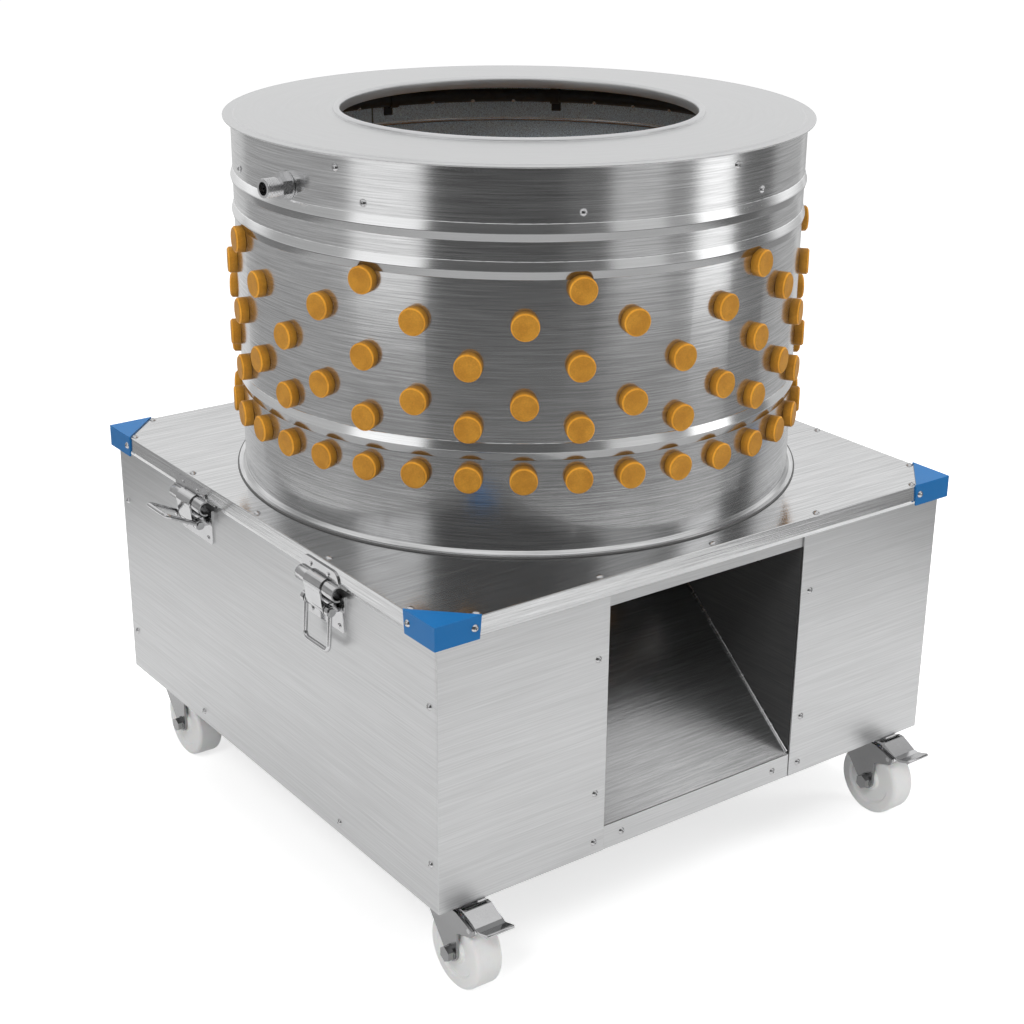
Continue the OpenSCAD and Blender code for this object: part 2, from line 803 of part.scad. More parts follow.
module feather_disc() {
  color(steel) difference() {
    union() {
      translate([0, 0, disc_z]) cylinder(r = disc_r, h = disc_t, $fn = 96);
      translate([0, 0, disc_z - hub_h]) cylinder(r = hub_r, h = hub_h + eps);
    }
    translate([0, 0, disc_z - hub_h - 1]) cylinder(d = shaft_d + 2 * neck_gap, h = hub_h + disc_t + 2);
    for (c = disc_circles, i = [0:c[1] - 1])
      rotate([0, 0, c[2] + i * 360 / c[1]]) translate([c[0], 0, disc_z - 1])
        cylinder(d = neck_d + 2 * neck_gap, h = disc_t + 2);
  }
  // The paddles below the disc sweep the feathers over the pan to the chute
  blade_h = disc_lift - paddle_gap - paddle_seat;
  paddle_in = hub_r + paddle_seat;
  paddle_out = disc_r - 2;
  color(steel) for (i = [0:paddle_count - 1])
    rotate([0, 0, paddle_az + i * 360 / paddle_count])
      translate([paddle_in, -paddle_t / 2, disc_z - paddle_seat - blade_h])
        cube([paddle_out - paddle_in, paddle_t, blade_h]);
}

module disc_fingers() {
  color(ochre) for (c = disc_circles, i = [0:c[1] - 1])
    rotate([0, 0, c[2] + i * 360 / c[1]]) translate([c[0], 0, disc_z - head_seat])
      mirror([0, 0, 1]) finger(disc_t + 2 * head_seat, disc_finger_l);
}

// Deck and drum

// The rim's section, drawn with its outer face at 0 and the deck's top at height 0
function rim_section() = [
  [0, 0], [0, -rim_h + hem_h], [-hem_in, -rim_h], [-hem_in - deck_sheet * 0.8, -rim_h + 0.8],
  [-deck_sheet, -rim_h + hem_h + 0.4], [-deck_sheet, 0]];

module deck() {
  color(steel) difference() {
    union() {
      bar(-deck_x, deck_x, -deck_y, deck_y, deck_under, deck_top_z);
      for (s = [-1, 1]) {
        mirror([s < 0 ? 1 : 0, 0, 0]) translate([deck_x, 0, deck_top_z]) along_y(2 * deck_y)
          polygon(rim_section());
        mirror([0, s < 0 ? 1 : 0, 0]) translate([0, deck_y, deck_top_z]) along_x(2 * deck_x)
          polygon(rim_section());
      }
    }
    translate([0, 0, deck_under - 1]) cylinder(r = deck_hole_r, h = deck_sheet + 2, $fn = 96);
  }
}

module deck_frame() {
  inner_x = half_w - deck_frame_w;
  inner_y = half_d - deck_frame_w;
  color(steel) difference() {
    bar(-half_w, half_w, -half_d, half_d, deck_frame_z, deck_under);
    bar(-inner_x, inner_x, -inner_y, inner_y, deck_frame_z - 1, deck_under + 1);
  }
}

module corner_cap() {
  // The corner of the rim is at the origin, the deck lies towards -x and -y
  leg = cap_leg + cap_t;
  face = [[0, cap_t], [-leg, cap_t], [-leg + cap_face_taper, cap_t - cap_h], [0, cap_t - cap_h]];
  translate([cap_t, cap_t, 0]) {
    linear_extrude(cap_t) polygon([[0, 0], [-leg, 0], [0, -leg]]);
    translate([0, -cap_t / 2, 0]) along_y(cap_t) polygon(face);
    translate([-cap_t / 2, 0, 0]) along_x(cap_t) polygon(face);
  }
}

module corner_caps() {
  color(blue) for (s = [0, 1], t = [0, 1])
    mirror([s, 0, 0]) mirror([0, t, 0]) translate([deck_x, deck_y, deck_top_z]) corner_cap();
}

module deck_screws() {
  cap_screw_z = deck_top_z - cap_h / 2 + cap_t;
  cap_screw_at = cap_leg - cap_screw_in;
  color(steel) {
    for (i = [-2:2], s = [-1, 1]) {
      translate([i * deck_screw_pitch_x, s * (deck_y - screw_edge), deck_top_z]) screw_head();
      translate([s * (deck_x - screw_edge), i * deck_screw_pitch_y, deck_top_z]) screw_head();
    }
    for (s = [-1, 1], t = [-1, 1]) {
      translate([s * (deck_x + cap_t), t * (deck_y - cap_screw_at), cap_screw_z]) rotate([0, s * 90, 0]) screw_head();
      translate([s * (deck_x - cap_screw_at), t * (deck_y + cap_t), cap_screw_z]) rotate([-t * 90, 0, 0]) screw_head();
    }
  }
}

function shell_side(r) = concat(
  bead_points(r, low_bead_z, low_bead_half), bead_points(r, mid_bead_z, bead_half),
  bead_points(r, top_bead_z, bead_half), [[r, drum_h]]);

module drum_shell() {
  flange_r = drum_r + foot_flange;
  foot = 3;
  outline = concat(
    [[drum_ri, 0], [flange_r, 0], [flange_r, drum_sheet], [drum_r + foot, drum_sheet], [drum_r, drum_sheet + foot]],
    shell_side(drum_r), reversed(shell_side(drum_ri)));
  color(steel) translate([0, 0, deck_top_z]) difference() {
    rotate_extrude($fn = 128) polygon(outline);
    for (row = finger_rows, i = [row[2]:row[1]:finger_columns - 1])
      rotate([0, 0, finger_az + i * column_step]) translate([drum_r - 20, 0, row[0]]) rotate([0, 90, 0])
        cylinder(d = neck_d + 2 * neck_gap, h = 40);
    rotate([0, 0, inlet_az]) translate([drum_r - 20, 0, inlet_z - deck_top_z]) rotate([0, 90, 0])
      cylinder(r = thread_r + neck_gap, h = 40);
  }
}

module drum_fingers() {
  neck_l = drum_sheet + head_seat + collar_seat;
  color(ochre) for (row = finger_rows, i = [row[2]:row[1]:finger_columns - 1])
    rotate([0, 0, finger_az + i * column_step]) translate([drum_r + head_seat, 0, deck_top_z + row[0]])
      rotate([0, 90, 0]) finger(neck_l, finger_l);
}

module drum_lid() {
  outer = lid_d / 2;
  step_r = outer - lid_edge;
  roll_out = mouth_r + 2 * mouth_roll;
  collar_r = drum_ri - lid_collar_gap;
  outline = concat(
    [[mouth_r, lid_top - mouth_wall]],
    [[mouth_r, lid_top]],
    reversed(arc_points(mouth_r + mouth_roll, lid_top, mouth_roll, 0, 180, 10)),
    [[roll_out + 0.5, lid_top], [step_r, lid_top], [step_r + lid_step, lid_flat_z], [outer, lid_flat_z],
     [outer, drum_top], [collar_r, drum_top], [collar_r, drum_top - lid_collar_h],
     [collar_r - lid_sheet, drum_top - lid_collar_h], [collar_r - lid_sheet, lid_top - lid_sheet],
     [mouth_r + lid_sheet, lid_top - lid_sheet], [mouth_r + lid_sheet, lid_top - mouth_wall]]);
  color(steel) rotate_extrude($fn = 128) polygon(outline);
}

module spray_hose() {
  color(black) translate([0, 0, hose_z]) rotate_extrude($fn = 96) translate([hose_ring_r, 0]) circle(r = hose_r, $fn = 24);
}

module hose_clips() {
  clip_r = hose_r + 0.3;
  tab_low = drum_screw_z - 7;
  tab_high = hose_z - deck_top_z;
  color(dark_steel) for (i = [0:clip_count - 1])
    rotate([0, 0, clip_az + i * 360 / clip_count]) difference() {
      union() {
        translate([hose_ring_r, 0, hose_z]) rotate([90, 0, 0]) cylinder(r = clip_r + clip_t, h = clip_w, center = true);
        translate([drum_ri - 0.4 - clip_t, -clip_w / 2, deck_top_z + tab_low])
          cube([clip_t, clip_w, tab_high - tab_low]);
        translate([hose_ring_r + clip_r, -clip_w / 2, hose_z - 4])
          cube([drum_ri - 0.4 - hose_ring_r - clip_r, clip_w, 4]);
      }
      translate([hose_ring_r, 0, hose_z]) rotate([90, 0, 0]) cylinder(r = clip_r, h = clip_w + 2, center = true);
    }
}

module water_nipple() {
  inside = 9;
  elbow_r = 7.5;
  color(steel) rotate([0, 0, inlet_az]) difference() {
    union() {
      translate([drum_r + 0.1, 0, inlet_z]) rotate([0, 90, 0]) cylinder(r = inlet_washer_r, h = inlet_washer_l);
      translate([drum_r + inlet_washer_l, 0, inlet_z]) rotate([0, 90, 0]) hex_head(inlet_hex, inlet_hex_l);
      translate([drum_ri - inside, 0, inlet_z]) rotate([0, 90, 0])
        cylinder(r = thread_r, h = inside + drum_sheet + inlet_washer_l + inlet_hex_l + thread_l);
    }
    translate([drum_ri - inside - 1, 0, inlet_z]) rotate([0, 90, 0]) cylinder(r = inlet_bore_r, h = 60);
    translate([hose_ring_r, 0, hose_z]) rotate([90, 0, 0]) cylinder(r = elbow_r, h = 60, center = true);
  }
}

module drum_screws() {
  color(steel) {
    for (i = [0:clip_count - 1])
      rotate([0, 0, clip_az + i * 360 / clip_count]) translate([drum_r, 0, deck_top_z + drum_screw_z])
        rotate([0, 90, 0]) screw_head();
    for (a = lid_screw_az)
      rotate([0, 0, a]) translate([drum_r, 0, deck_top_z + lid_screw_z]) rotate([0, 90, 0]) screw_head();
  }
}

// Latches: +x looks out from the cabinet's left face

module at_latch(y) {
  translate([-half_w, y, 0]) rotate([0, 0, 180]) children();
}

module keeper() {
  corner = 10;
  top = deck_top_z - 5;
  plate_low = roll_z + roll_r - roll_wall;
  side = latch_w / 2;
  rivet_y = 15;
  outline = concat([[-side, plate_low], [side, plate_low]],
                   arc_points(side - corner, top - corner, corner, 0, 90, 6),
                   arc_points(-side + corner, top - corner, corner, 90, 180, 6));
  translate([deck_overhang + keeper_t / 2, 0, 0]) along_x(keeper_t) polygon(outline);
  intersection() {
    along_y(latch_w) translate([keeper_face, roll_z]) difference() {
      circle(r = roll_r);
      circle(r = roll_r - roll_wall);
    }
    bar(keeper_face - roll_wall, keeper_face + roll_r + 1, -latch_w, latch_w, roll_z - roll_r - 1, roll_z + roll_r + 1);
  }
  for (s = [-1, 1])
    translate([keeper_face, s * rivet_y, (top + plate_low) / 2 + 1]) rotate([0, 90, 0])
      cylinder(d1 = 4.6, d2 = 3.4, h = 1.2);
}

module latch_keepers() {
  color(steel) for (s = [-1, 1]) at_latch(s * latch_y) keeper();
}

module latch_base() {
  corner = 4;
  side = latch_w / 2 + 1;
  low = latch_pin_z - latch_base_drop;
  high = latch_pin_z + latch_base_rise;
  screw_y = 23.5;
  eye_end = bail_w / 2 + pass_gap;
  outline = concat([[side, high], [-side, high]],
                   arc_points(-side + corner, low + corner, corner, 180, 270, 4),
                   arc_points(side - corner, low + corner, corner, 270, 360, 4));
  translate([latch_base_t / 2, 0, 0]) along_x(latch_base_t) polygon(outline);
  for (s = [-1, 1]) {
    translate([0, s * (lug_in + lug_t / 2), 0]) along_y(lug_t) union() {
      translate([0, latch_pin_z - lug_r]) square([pin_out, 2 * lug_r]);
      translate([pin_out, latch_pin_z]) circle(r = lug_r);
    }
    translate([latch_base_t, s * screw_y, low + 5]) rotate([0, 90, 0]) cylinder(d1 = 5, d2 = 3.8, h = 1.2);
    translate([pin_out, s * (eye_end + pin_head_t / 2), latch_pin_z]) rotate([90, 0, 0])
      cylinder(r = pin_head_r, h = pin_head_t, center = true);
  }
  translate([pin_out, 0, latch_pin_z]) rotate([90, 0, 0]) cylinder(d = latch_pin_d, h = 2 * eye_end + eps, center = true);
}

module latch_bases() {
  color(steel) for (s = [-1, 1]) at_latch(s * latch_y) latch_base();
}

// The claw hooks over the keeper's roll and turns on the lever's pin
module claw() {
  inner = roll_r + seat_gap;
  outer = inner + claw_t;
  foot_angle = -24;
  foot = [keeper_face + inner * cos(foot_angle), roll_z + inner * sin(foot_angle)];
  foot_out = [keeper_face + outer * cos(foot_angle), roll_z + outer * sin(foot_angle)];
  knuckle = latch_pin_d / 2 + run_gap;
  knuckle_r = knuckle + claw_t + 0.3;
  difference() {
    union() {
      along_y(claw_w)
        polygon(concat(arc_points(keeper_face, roll_z, outer, foot_angle - claw_tuck, claw_reach, 12),
                       reversed(arc_points(keeper_face, roll_z, inner, foot_angle - claw_tuck, claw_reach, 12))));
      along_y(claw_w)
        polygon([foot, foot_out, [pin_out + knuckle_r - 0.2, latch_pin_z], [pin_out + knuckle + 0.2, latch_pin_z]]);
      translate([pin_out, 0, latch_pin_z]) rotate([90, 0, 0]) cylinder(r = knuckle_r, h = claw_w, center = true);
    }
    translate([pin_out, 0, latch_pin_z]) rotate([90, 0, 0]) cylinder(r = knuckle, h = claw_w + 2, center = true);
  }
}

module latch_claw_front() {
  color(steel) at_latch(-latch_y) claw();
}

module latch_claw_rear() {
  color(steel) at_latch(latch_y) claw();
}

// The lever is a wire loop with an eye at each end; it hangs down at an angle of 0
module lever(angle) {
  side = bail_w / 2 - wire_d / 2;
  bend = 6;
  eye_bore = latch_pin_d / 2 + run_gap;
  translate([pin_out, 0, latch_pin_z]) rotate([0, -angle, 0]) difference() {
    union() {
      for (s = [-1, 1]) {
        translate([0, s * side, 0]) rotate([90, 0, 0]) cylinder(r = eye_r, h = eye_t, center = true);
        translate([0, s * side, -bail_l + bend]) cylinder(d = wire_d, h = bail_l - bend - eye_bore - eye_root);
        translate([0, s * (side - bend), -bail_l + bend]) rotate([0, 90, 0]) rotate([0, 0, s > 0 ? 0 : -90])
          rotate_extrude(angle = 90) translate([bend, 0]) circle(d = wire_d);
      }
      translate([0, 0, -bail_l]) rotate([90, 0, 0]) cylinder(d = wire_d, h = 2 * (side - bend), center = true);
    }
    rotate([90, 0, 0]) cylinder(r = eye_bore, h = bail_w + 2, center = true);
  }
}

module latch_lever_front() {
  color(steel) at_latch(-latch_y) lever(front_lever_angle);
}

module latch_lever_rear() {
  color(steel) at_latch(latch_y) lever(rear_lever_angle);
}

// Hinges: the barrel's axis runs along y beside the right panel

module hinge_knuckles(first) {
  step = hinge_l / knuckles;
  for (i = [first:2:knuckles - 1])
    translate([0, -hinge_l / 2 + (i + 0.5) * step, 0]) children();
}

module lower_hinge() {
  step = hinge_l / knuckles;
  translate([half_w + leaf_t / 2, 0, hinge_z - barrel_r - leaf_h / 2]) cube([leaf_t, hinge_l, leaf_h], center = true);
  hinge_knuckles(0) {
    translate([half_w + hinge_out, 0, hinge_z]) rotate([90, 0, 0])
      cylinder(r = barrel_r, h = step - knuckle_gap, center = true);
    translate([half_w, -(step - knuckle_gap) / 2, hinge_z - barrel_r - leaf_t])
      cube([hinge_out, step - knuckle_gap, leaf_t + 2]);
  }
  translate([half_w + hinge_out, 0, hinge_z]) rotate([90, 0, 0]) cylinder(r = hinge_pin_r, h = hinge_l, center = true);
}

module hinge_lower() {
  color(steel) for (s = [-1, 1]) translate([0, s * hinge_y, 0]) lower_hinge();
}

module upper_hinge() {
  step = hinge_l / knuckles;
  block_z = hinge_z + barrel_r - leaf_t;
  translate([deck_x + leaf_t / 2, 0, hinge_z + barrel_r + upper_leaf_h / 2 + 0.5])
    cube([leaf_t, hinge_l, upper_leaf_h], center = true);
  hinge_knuckles(1) difference() {
    union() {
      translate([half_w + hinge_out, 0, hinge_z]) rotate([90, 0, 0])
        cylinder(r = barrel_r, h = step - knuckle_gap, center = true);
      translate([deck_x, -(step - knuckle_gap) / 2, block_z])
        cube([leaf_t + 2, step - knuckle_gap, leaf_t + 1]);
    }
    translate([half_w + hinge_out, 0, hinge_z]) rotate([90, 0, 0])
      cylinder(r = hinge_pin_r + run_gap, h = step + 2, center = true);
  }
}

module hinge_upper() {
  color(steel) for (s = [-1, 1]) translate([0, s * hinge_y, 0]) upper_hinge();
}

// Casters: the swivel axis is at the origin and the wheel trails towards -y

module at_caster(sx, sy) {
  translate([sx * caster_x, sy * caster_y, 0]) children();
}

module caster_plate() {
  bolt_in = 9;
  difference() {
    union() {
      translate([0, 0, plate_z + plate_t / 2]) cube([plate_w, plate_w, plate_t], center = true);
      translate([0, 0, race_z]) cylinder(r = race_r, h = plate_z - race_z + eps);
      translate([0, 0, crown_z - king_head_h - race_gap]) cylinder(r = king_r, h = plate_z - crown_z + king_head_h);
      translate([0, 0, crown_z - king_head_h - race_gap]) cylinder(r = king_head_r, h = king_head_h);
    }
    for (s = [-1, 1], t = [-1, 1])
      translate([s * (plate_w / 2 - bolt_in), t * (plate_w / 2 - bolt_in), plate_z - 1]) cylinder(r = 4, h = plate_t + 2);
  }
}

module caster_plates() {
  color(steel) for (sx = [-1, 1], sy = [-1, 1]) at_caster(sx, sy) caster_plate();
}

function leg_outline(brake) = let (
  top = crown_z + crown_t,
  rear_tangent = 28,
  lobe = brake ? concat([[-trail - axle_boss_r, lobe_z - lobe_r - 6]],
                        arc_points(-lobe_y, lobe_z, lobe_r, -90, -200, 8), [[-trail - axle_boss_r, top]])
               : [[-trail - axle_boss_r, top]]
) concat([[crown_rear, top]],
         reversed(arc_points(-trail, wheel_r, axle_boss_r, -180, -rear_tangent, 10)), lobe);

module fork(brake) {
  outline = leg_outline(brake);
  color(steel) difference() {
    union() {
      for (s = [-1, 1])
        translate([s * (leg_x + fork_t / 2), 0, 0]) along_x(fork_t) polygon(outline);
      translate([0, (crown_rear - crown_front) / 2, crown_z + crown_t / 2])
        cube([2 * leg_x + eps, crown_rear + crown_front, crown_t], center = true);
      translate([0, 0, crown_z + crown_t / 2]) cylinder(r = race_r, h = race_z - race_gap - crown_z - crown_t / 2);
    }
    translate([0, 0, crown_z - 1]) cylinder(r = king_r + run_gap, h = 20);
    translate([0, -trail, wheel_r]) rotate([0, 90, 0]) cylinder(d = axle_d + 2 * neck_gap, h = 100, center = true);
    if (brake) translate([0, -lobe_y, lobe_z]) rotate([0, 90, 0])
      cylinder(d = pedal_pin_d + 2 * run_gap, h = 100, center = true);
  }
}

module axle() {
  head_h = 5.5;
  nut_h = 6;
  washer_t = 1.5;
  washer_r = 7.5;
  out = leg_x + fork_t;
  color(steel) translate([0, -trail, wheel_r]) rotate([0, 90, 0]) {
    cylinder(d = axle_d, h = 2 * out + 2 * washer_t + 2, center = true);
    for (s = [-1, 1]) mirror([0, 0, s < 0 ? 1 : 0]) translate([0, 0, out]) cylinder(r = washer_r, h = washer_t);
    translate([0, 0, -out - washer_t - head_h]) hex_head(13, head_h);
    translate([0, 0, out + washer_t]) hex_head(13, nut_h);
  }
}

module wheel() {
  edge = 4;
  face_r = 27;
  dish = 2.5;
  hub_half = wheel_w / 2 + wheel_gap - pass_gap;
  bore = axle_d / 2 + run_gap;
  side = wheel_w / 2;
  function half(s) = [
    [bore, s * hub_half], [hub_d / 2, s * hub_half], [hub_d / 2 + 2, s * (side - dish)],
    [face_r - 2, s * (side - dish)], [face_r, s * side], [wheel_r - edge, s * side]];
  outline = concat(half(1), arc_points(wheel_r - edge, side - edge, edge, 75, 0, 5),
                   arc_points(wheel_r - edge, -side + edge, edge, 0, -75, 5), reversed(half(-1)));
  color(nylon) translate([0, -trail, wheel_r]) rotate([0, 90, 0]) rotate_extrude($fn = 72) polygon(outline);
}

module brake_pedal() {
  // The tread plate's upper line from the rear edge over the ridge and the slope to the lip
  line = [[-33, pedal_top - 2], [-38, pedal_top], [-44, pedal_top], [-60, 79], [-66, 78.5], [-77, 82]];
  lip_r = 1.8;
  ear_r = 6;
  ear_t = 2;
  slot_l = 22;
  slot_w = 3.5;
  // The brake shoe reaches from the pin towards the axle and ends just off the tread
  to_wheel = atan2(wheel_r - lobe_z, lobe_y - trail);
  reach = norm([lobe_y - trail, lobe_z - wheel_r]) - wheel_r - shoe_gap;
  shoe = [[0, 2.4], [reach - 0.3, 1.4], [reach, 0], [reach + 0.1, -4], [3, -4.5], [0, -2.4]];
  color(steel) difference() {
    union() {
      along_x(pedal_w) polygon(concat(line, reversed([for (p = line) [p[0], p[1] - pedal_t]])));
      translate([0, -77, 82 - lip_r]) rotate([0, 90, 0]) cylinder(r = lip_r, h = pedal_w, center = true);
      for (s = [-1, 1])
        translate([s * (pedal_w / 2 - ear_t / 2), 0, 0]) along_x(ear_t)
          polygon(concat([[-40, pedal_top - 1]], arc_points(-lobe_y, lobe_z, ear_r, 315, 200, 8), [[-59.2, 78.6]]));
      translate([0, -lobe_y, lobe_z]) rotate([0, 90, 0]) cylinder(d = pedal_pin_d, h = 2 * (leg_x + fork_t), center = true);
      along_x(pedal_w - ear_t) translate([-lobe_y, lobe_z]) rotate(to_wheel) polygon(shoe);
    }
    translate([0, -41, pedal_top]) cube([slot_l, slot_w, 10], center = true);
  }
}

// Electrics on the back panel

module switch_box() {
  color(black) translate([box_x, half_d, box_z]) difference() {
    union() {
      translate([0, box_d, 0]) rotate([90, 0, 0]) linear_extrude(box_d) polygon(rounded_box(box_w, box_h, box_r));
      for (s = [-1, 1])
        translate([s * button_x, box_d, 0]) rotate([-90, 0, 0]) cylinder(r = button_collar_r, h = button_collar_t);
    }
    for (s = [-1, 1])
      translate([s * button_x, box_d + button_collar_t + eps, 0]) rotate([90, 0, 0])
        cylinder(r = button_r + run_gap, h = button_collar_t + button_in + button_travel + 1);
  }
}

module button(s) {
  dome = 2;
  translate([box_x + s * button_x, half_d + box_d + button_collar_t - button_in, box_z]) rotate([-90, 0, 0])
    rotate_extrude() polygon([[0, 0], [button_r, 0], [button_r, button_in + button_out - dome],
                              [button_r - dome, button_in + button_out], [0, button_in + button_out]]);
}

module start_button() {
  color(green) button(-1);
}

module stop_button() {
  color(red) button(1);
}

module cable_gland() {
  nut_l = 8;
  color(black) translate([box_x, half_d, gland_z]) rotate([-90, 0, 0]) difference() {
    union() {
      hex_head(2 * gland_r, nut_l);
      translate([0, 0, nut_l]) cylinder(r1 = gland_r - 1, r2 = gland_r - 4, h = gland_l - nut_l);
    }
    translate([0, 0, -1]) cylinder(r = gland_bore_r, h = gland_l + 2);
  }
}

base_frame();
left_panel();
right_panel();
back_panel();
front_left_panel();
front_right_panel();
front_sill();
chute();
feather_pan();
pan_ring();
panel_screws();
drive_mount();
shaft_bearings();
motor_body();
motor_cowl();
motor_terminal_box();
v_belt();
cable_gland();
switch_box();
caster_plates();
latch_bases();
hinge_lower();
deck();
deck_frame();
corner_caps();
deck_screws();
drum_shell();
drum_lid();
drum_fingers();
spray_hose();
hose_clips();
water_nipple();
drum_screws();
latch_keepers();
hinge_upper();
feather_disc();
disc_fingers();
main_shaft();
driven_pulley();
motor_pulley();
latch_lever_front();
latch_claw_front();
latch_lever_rear();
latch_claw_rear();
at_caster(-1, -1) fork(true);  // fork_front_left
at_caster(1, -1) fork(true);  // fork_front_right
at_caster(-1, 1) fork(false);  // fork_rear_left
at_caster(1, 1) fork(false);  // fork_rear_right
at_caster(-1, -1) wheel();  // wheel_front_left
at_caster(1, -1) wheel();  // wheel_front_right
at_caster(-1, 1) wheel();  // wheel_rear_left
at_caster(1, 1) wheel();  // wheel_rear_right
at_caster(-1, -1) axle();  // axle_front_left
at_caster(1, -1) axle();  // axle_front_right
at_caster(-1, 1) axle();  // axle_rear_left
at_caster(1, 1) axle();  // axle_rear_right
at_caster(-1, -1) brake_pedal();  // brake_pedal_left
at_caster(1, -1) brake_pedal();  // brake_pedal_right
start_button();
stop_button();
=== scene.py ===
"""Looks of a drum poultry plucker: finishes, small pieces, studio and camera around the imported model."""
import logging
import math
from dataclasses import dataclass
from enum import Enum
from typing import ClassVar, Union

import bpy
from mathutils import Matrix, Vector


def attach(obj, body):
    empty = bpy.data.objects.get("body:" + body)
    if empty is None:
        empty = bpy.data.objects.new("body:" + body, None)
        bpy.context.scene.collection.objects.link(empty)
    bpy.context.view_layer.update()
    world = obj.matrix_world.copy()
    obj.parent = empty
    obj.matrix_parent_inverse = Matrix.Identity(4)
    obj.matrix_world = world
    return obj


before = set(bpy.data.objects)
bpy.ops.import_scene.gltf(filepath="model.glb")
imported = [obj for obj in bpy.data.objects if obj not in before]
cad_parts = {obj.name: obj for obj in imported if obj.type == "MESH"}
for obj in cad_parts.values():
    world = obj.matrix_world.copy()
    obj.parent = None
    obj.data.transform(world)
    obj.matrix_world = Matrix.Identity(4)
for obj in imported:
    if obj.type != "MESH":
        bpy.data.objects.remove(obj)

LOG = logging.getLogger("plucker")
Socket = bpy.types.NodeSocket
Material = bpy.types.Material
Mesh = bpy.types.Mesh
Value = Union["Number", float]
Colour = Union[tuple[float, float, float], Socket]
MM = 0.001
DRUM_RADIUS = 275.0
HEAD_RADIUS = 284.0
DECK_TOP = 370.0
SEAM_AZIMUTH = 91.0
CROSS_TURN = math.pi / 2
HEXAGON_TURN = math.pi / 3
UP, DOWN = Vector((0, 0, 1)), Vector((0, 0, -1))
AHEAD, BACK = Vector((0, -1, 0)), Vector((0, 1, 0))
CORNERS = [(u, v) for u in (-1, 1) for v in (-1, 1)]
Place = tuple[Vector, Vector]
Solid = tuple[list[Vector], list[tuple[int, ...]]]
Outline = list[tuple[float, float]]


def mm(*values: float) -> Vector:
    """Turns millimetres into a vector in metres."""
    return Vector([value * MM for value in values])


def around(radius: float, azimuth: float, height: float) -> Vector:
    """Gives the point at that radius and azimuth about the drum's axis, from millimetres and degrees."""
    angle = math.radians(azimuth)
    return mm(radius * math.cos(angle), radius * math.sin(angle), height)


def outward(azimuth: float) -> Vector:
    """Gives the level direction of an azimuth in degrees."""
    angle = math.radians(azimuth)
    return Vector((math.cos(angle), math.sin(angle), 0.0))


def rgba(colour: Colour) -> tuple | Socket:
    """Gives a plain colour its fourth number, and a colour's socket as it is."""
    return (*colour, 1.0) if isinstance(colour, tuple) else colour


class Number:
    """A number socket that takes part in Python expressions."""

    def __init__(self, graph: "Graph", socket: Socket) -> None:
        """Keeps the socket and the graph that it belongs to."""
        self.graph = graph
        self.socket = socket

    def _math(self, operation: str, *values: Value) -> "Number":
        """Adds a Math node for one operation on these values, and gives its result."""
        made = self.graph.node("ShaderNodeMath", {"operation": operation}, dict(enumerate(values)))
        return Number(self.graph, made.outputs[0])

    def __add__(self, other: Value) -> "Number":
        """Adds."""
        return self._math("ADD", self, other)

    __radd__ = __add__

    def __sub__(self, other: Value) -> "Number":
        """Subtracts."""
        return self._math("SUBTRACT", self, other)

    def __rsub__(self, other: Value) -> "Number":
        """Subtracts from a plain number."""
        return self._math("SUBTRACT", other, self)

    def __mul__(self, other: Value) -> "Number":
        """Multiplies."""
        return self._math("MULTIPLY", self, other)

    __rmul__ = __mul__

    def size(self) -> "Number":
        """Drops the sign."""
        return self._math("ABSOLUTE", self)

    def root(self) -> "Number":
        """Takes the square root."""
        return self._math("SQRT", self)

    def above(self, limit: float) -> "Number":
        """Gives 1 where the number is above the limit, and 0 elsewhere."""
        return self._math("GREATER_THAN", self, limit)

    def turn_to(self, other: "Number") -> "Number":
        """Gives the angle in radians of the point whose y is this number and whose x is the other."""
        return self._math("ARCTAN2", self, other)

    def swing(self, amount: float) -> "Number":
        """Gives a noise's distance from its mean of a half, times the amount."""
        return (self - 0.5) * amount

    def rise(self, low: float, high: float) -> "Number":
        """Goes smoothly from 0 at low to 1 at high.

        Args:
            low: the number at which the rise starts.
            high: the number at which it ends, which may be the smaller one.

        Returns:
            The smooth step.
        """
        inputs = {"Value": self, "From Min": min(low, high), "From Max": max(low, high)}
        made = self.graph.node("ShaderNodeMapRange", {"interpolation_type": "SMOOTHSTEP"}, inputs)
        step = Number(self.graph, made.outputs[0])
        return step if low < high else 1 - step


def distance(x: Number, y: Number) -> Number:
    """Gives how far a point of a plane is from the origin."""
    return (x * x + y * y).root()


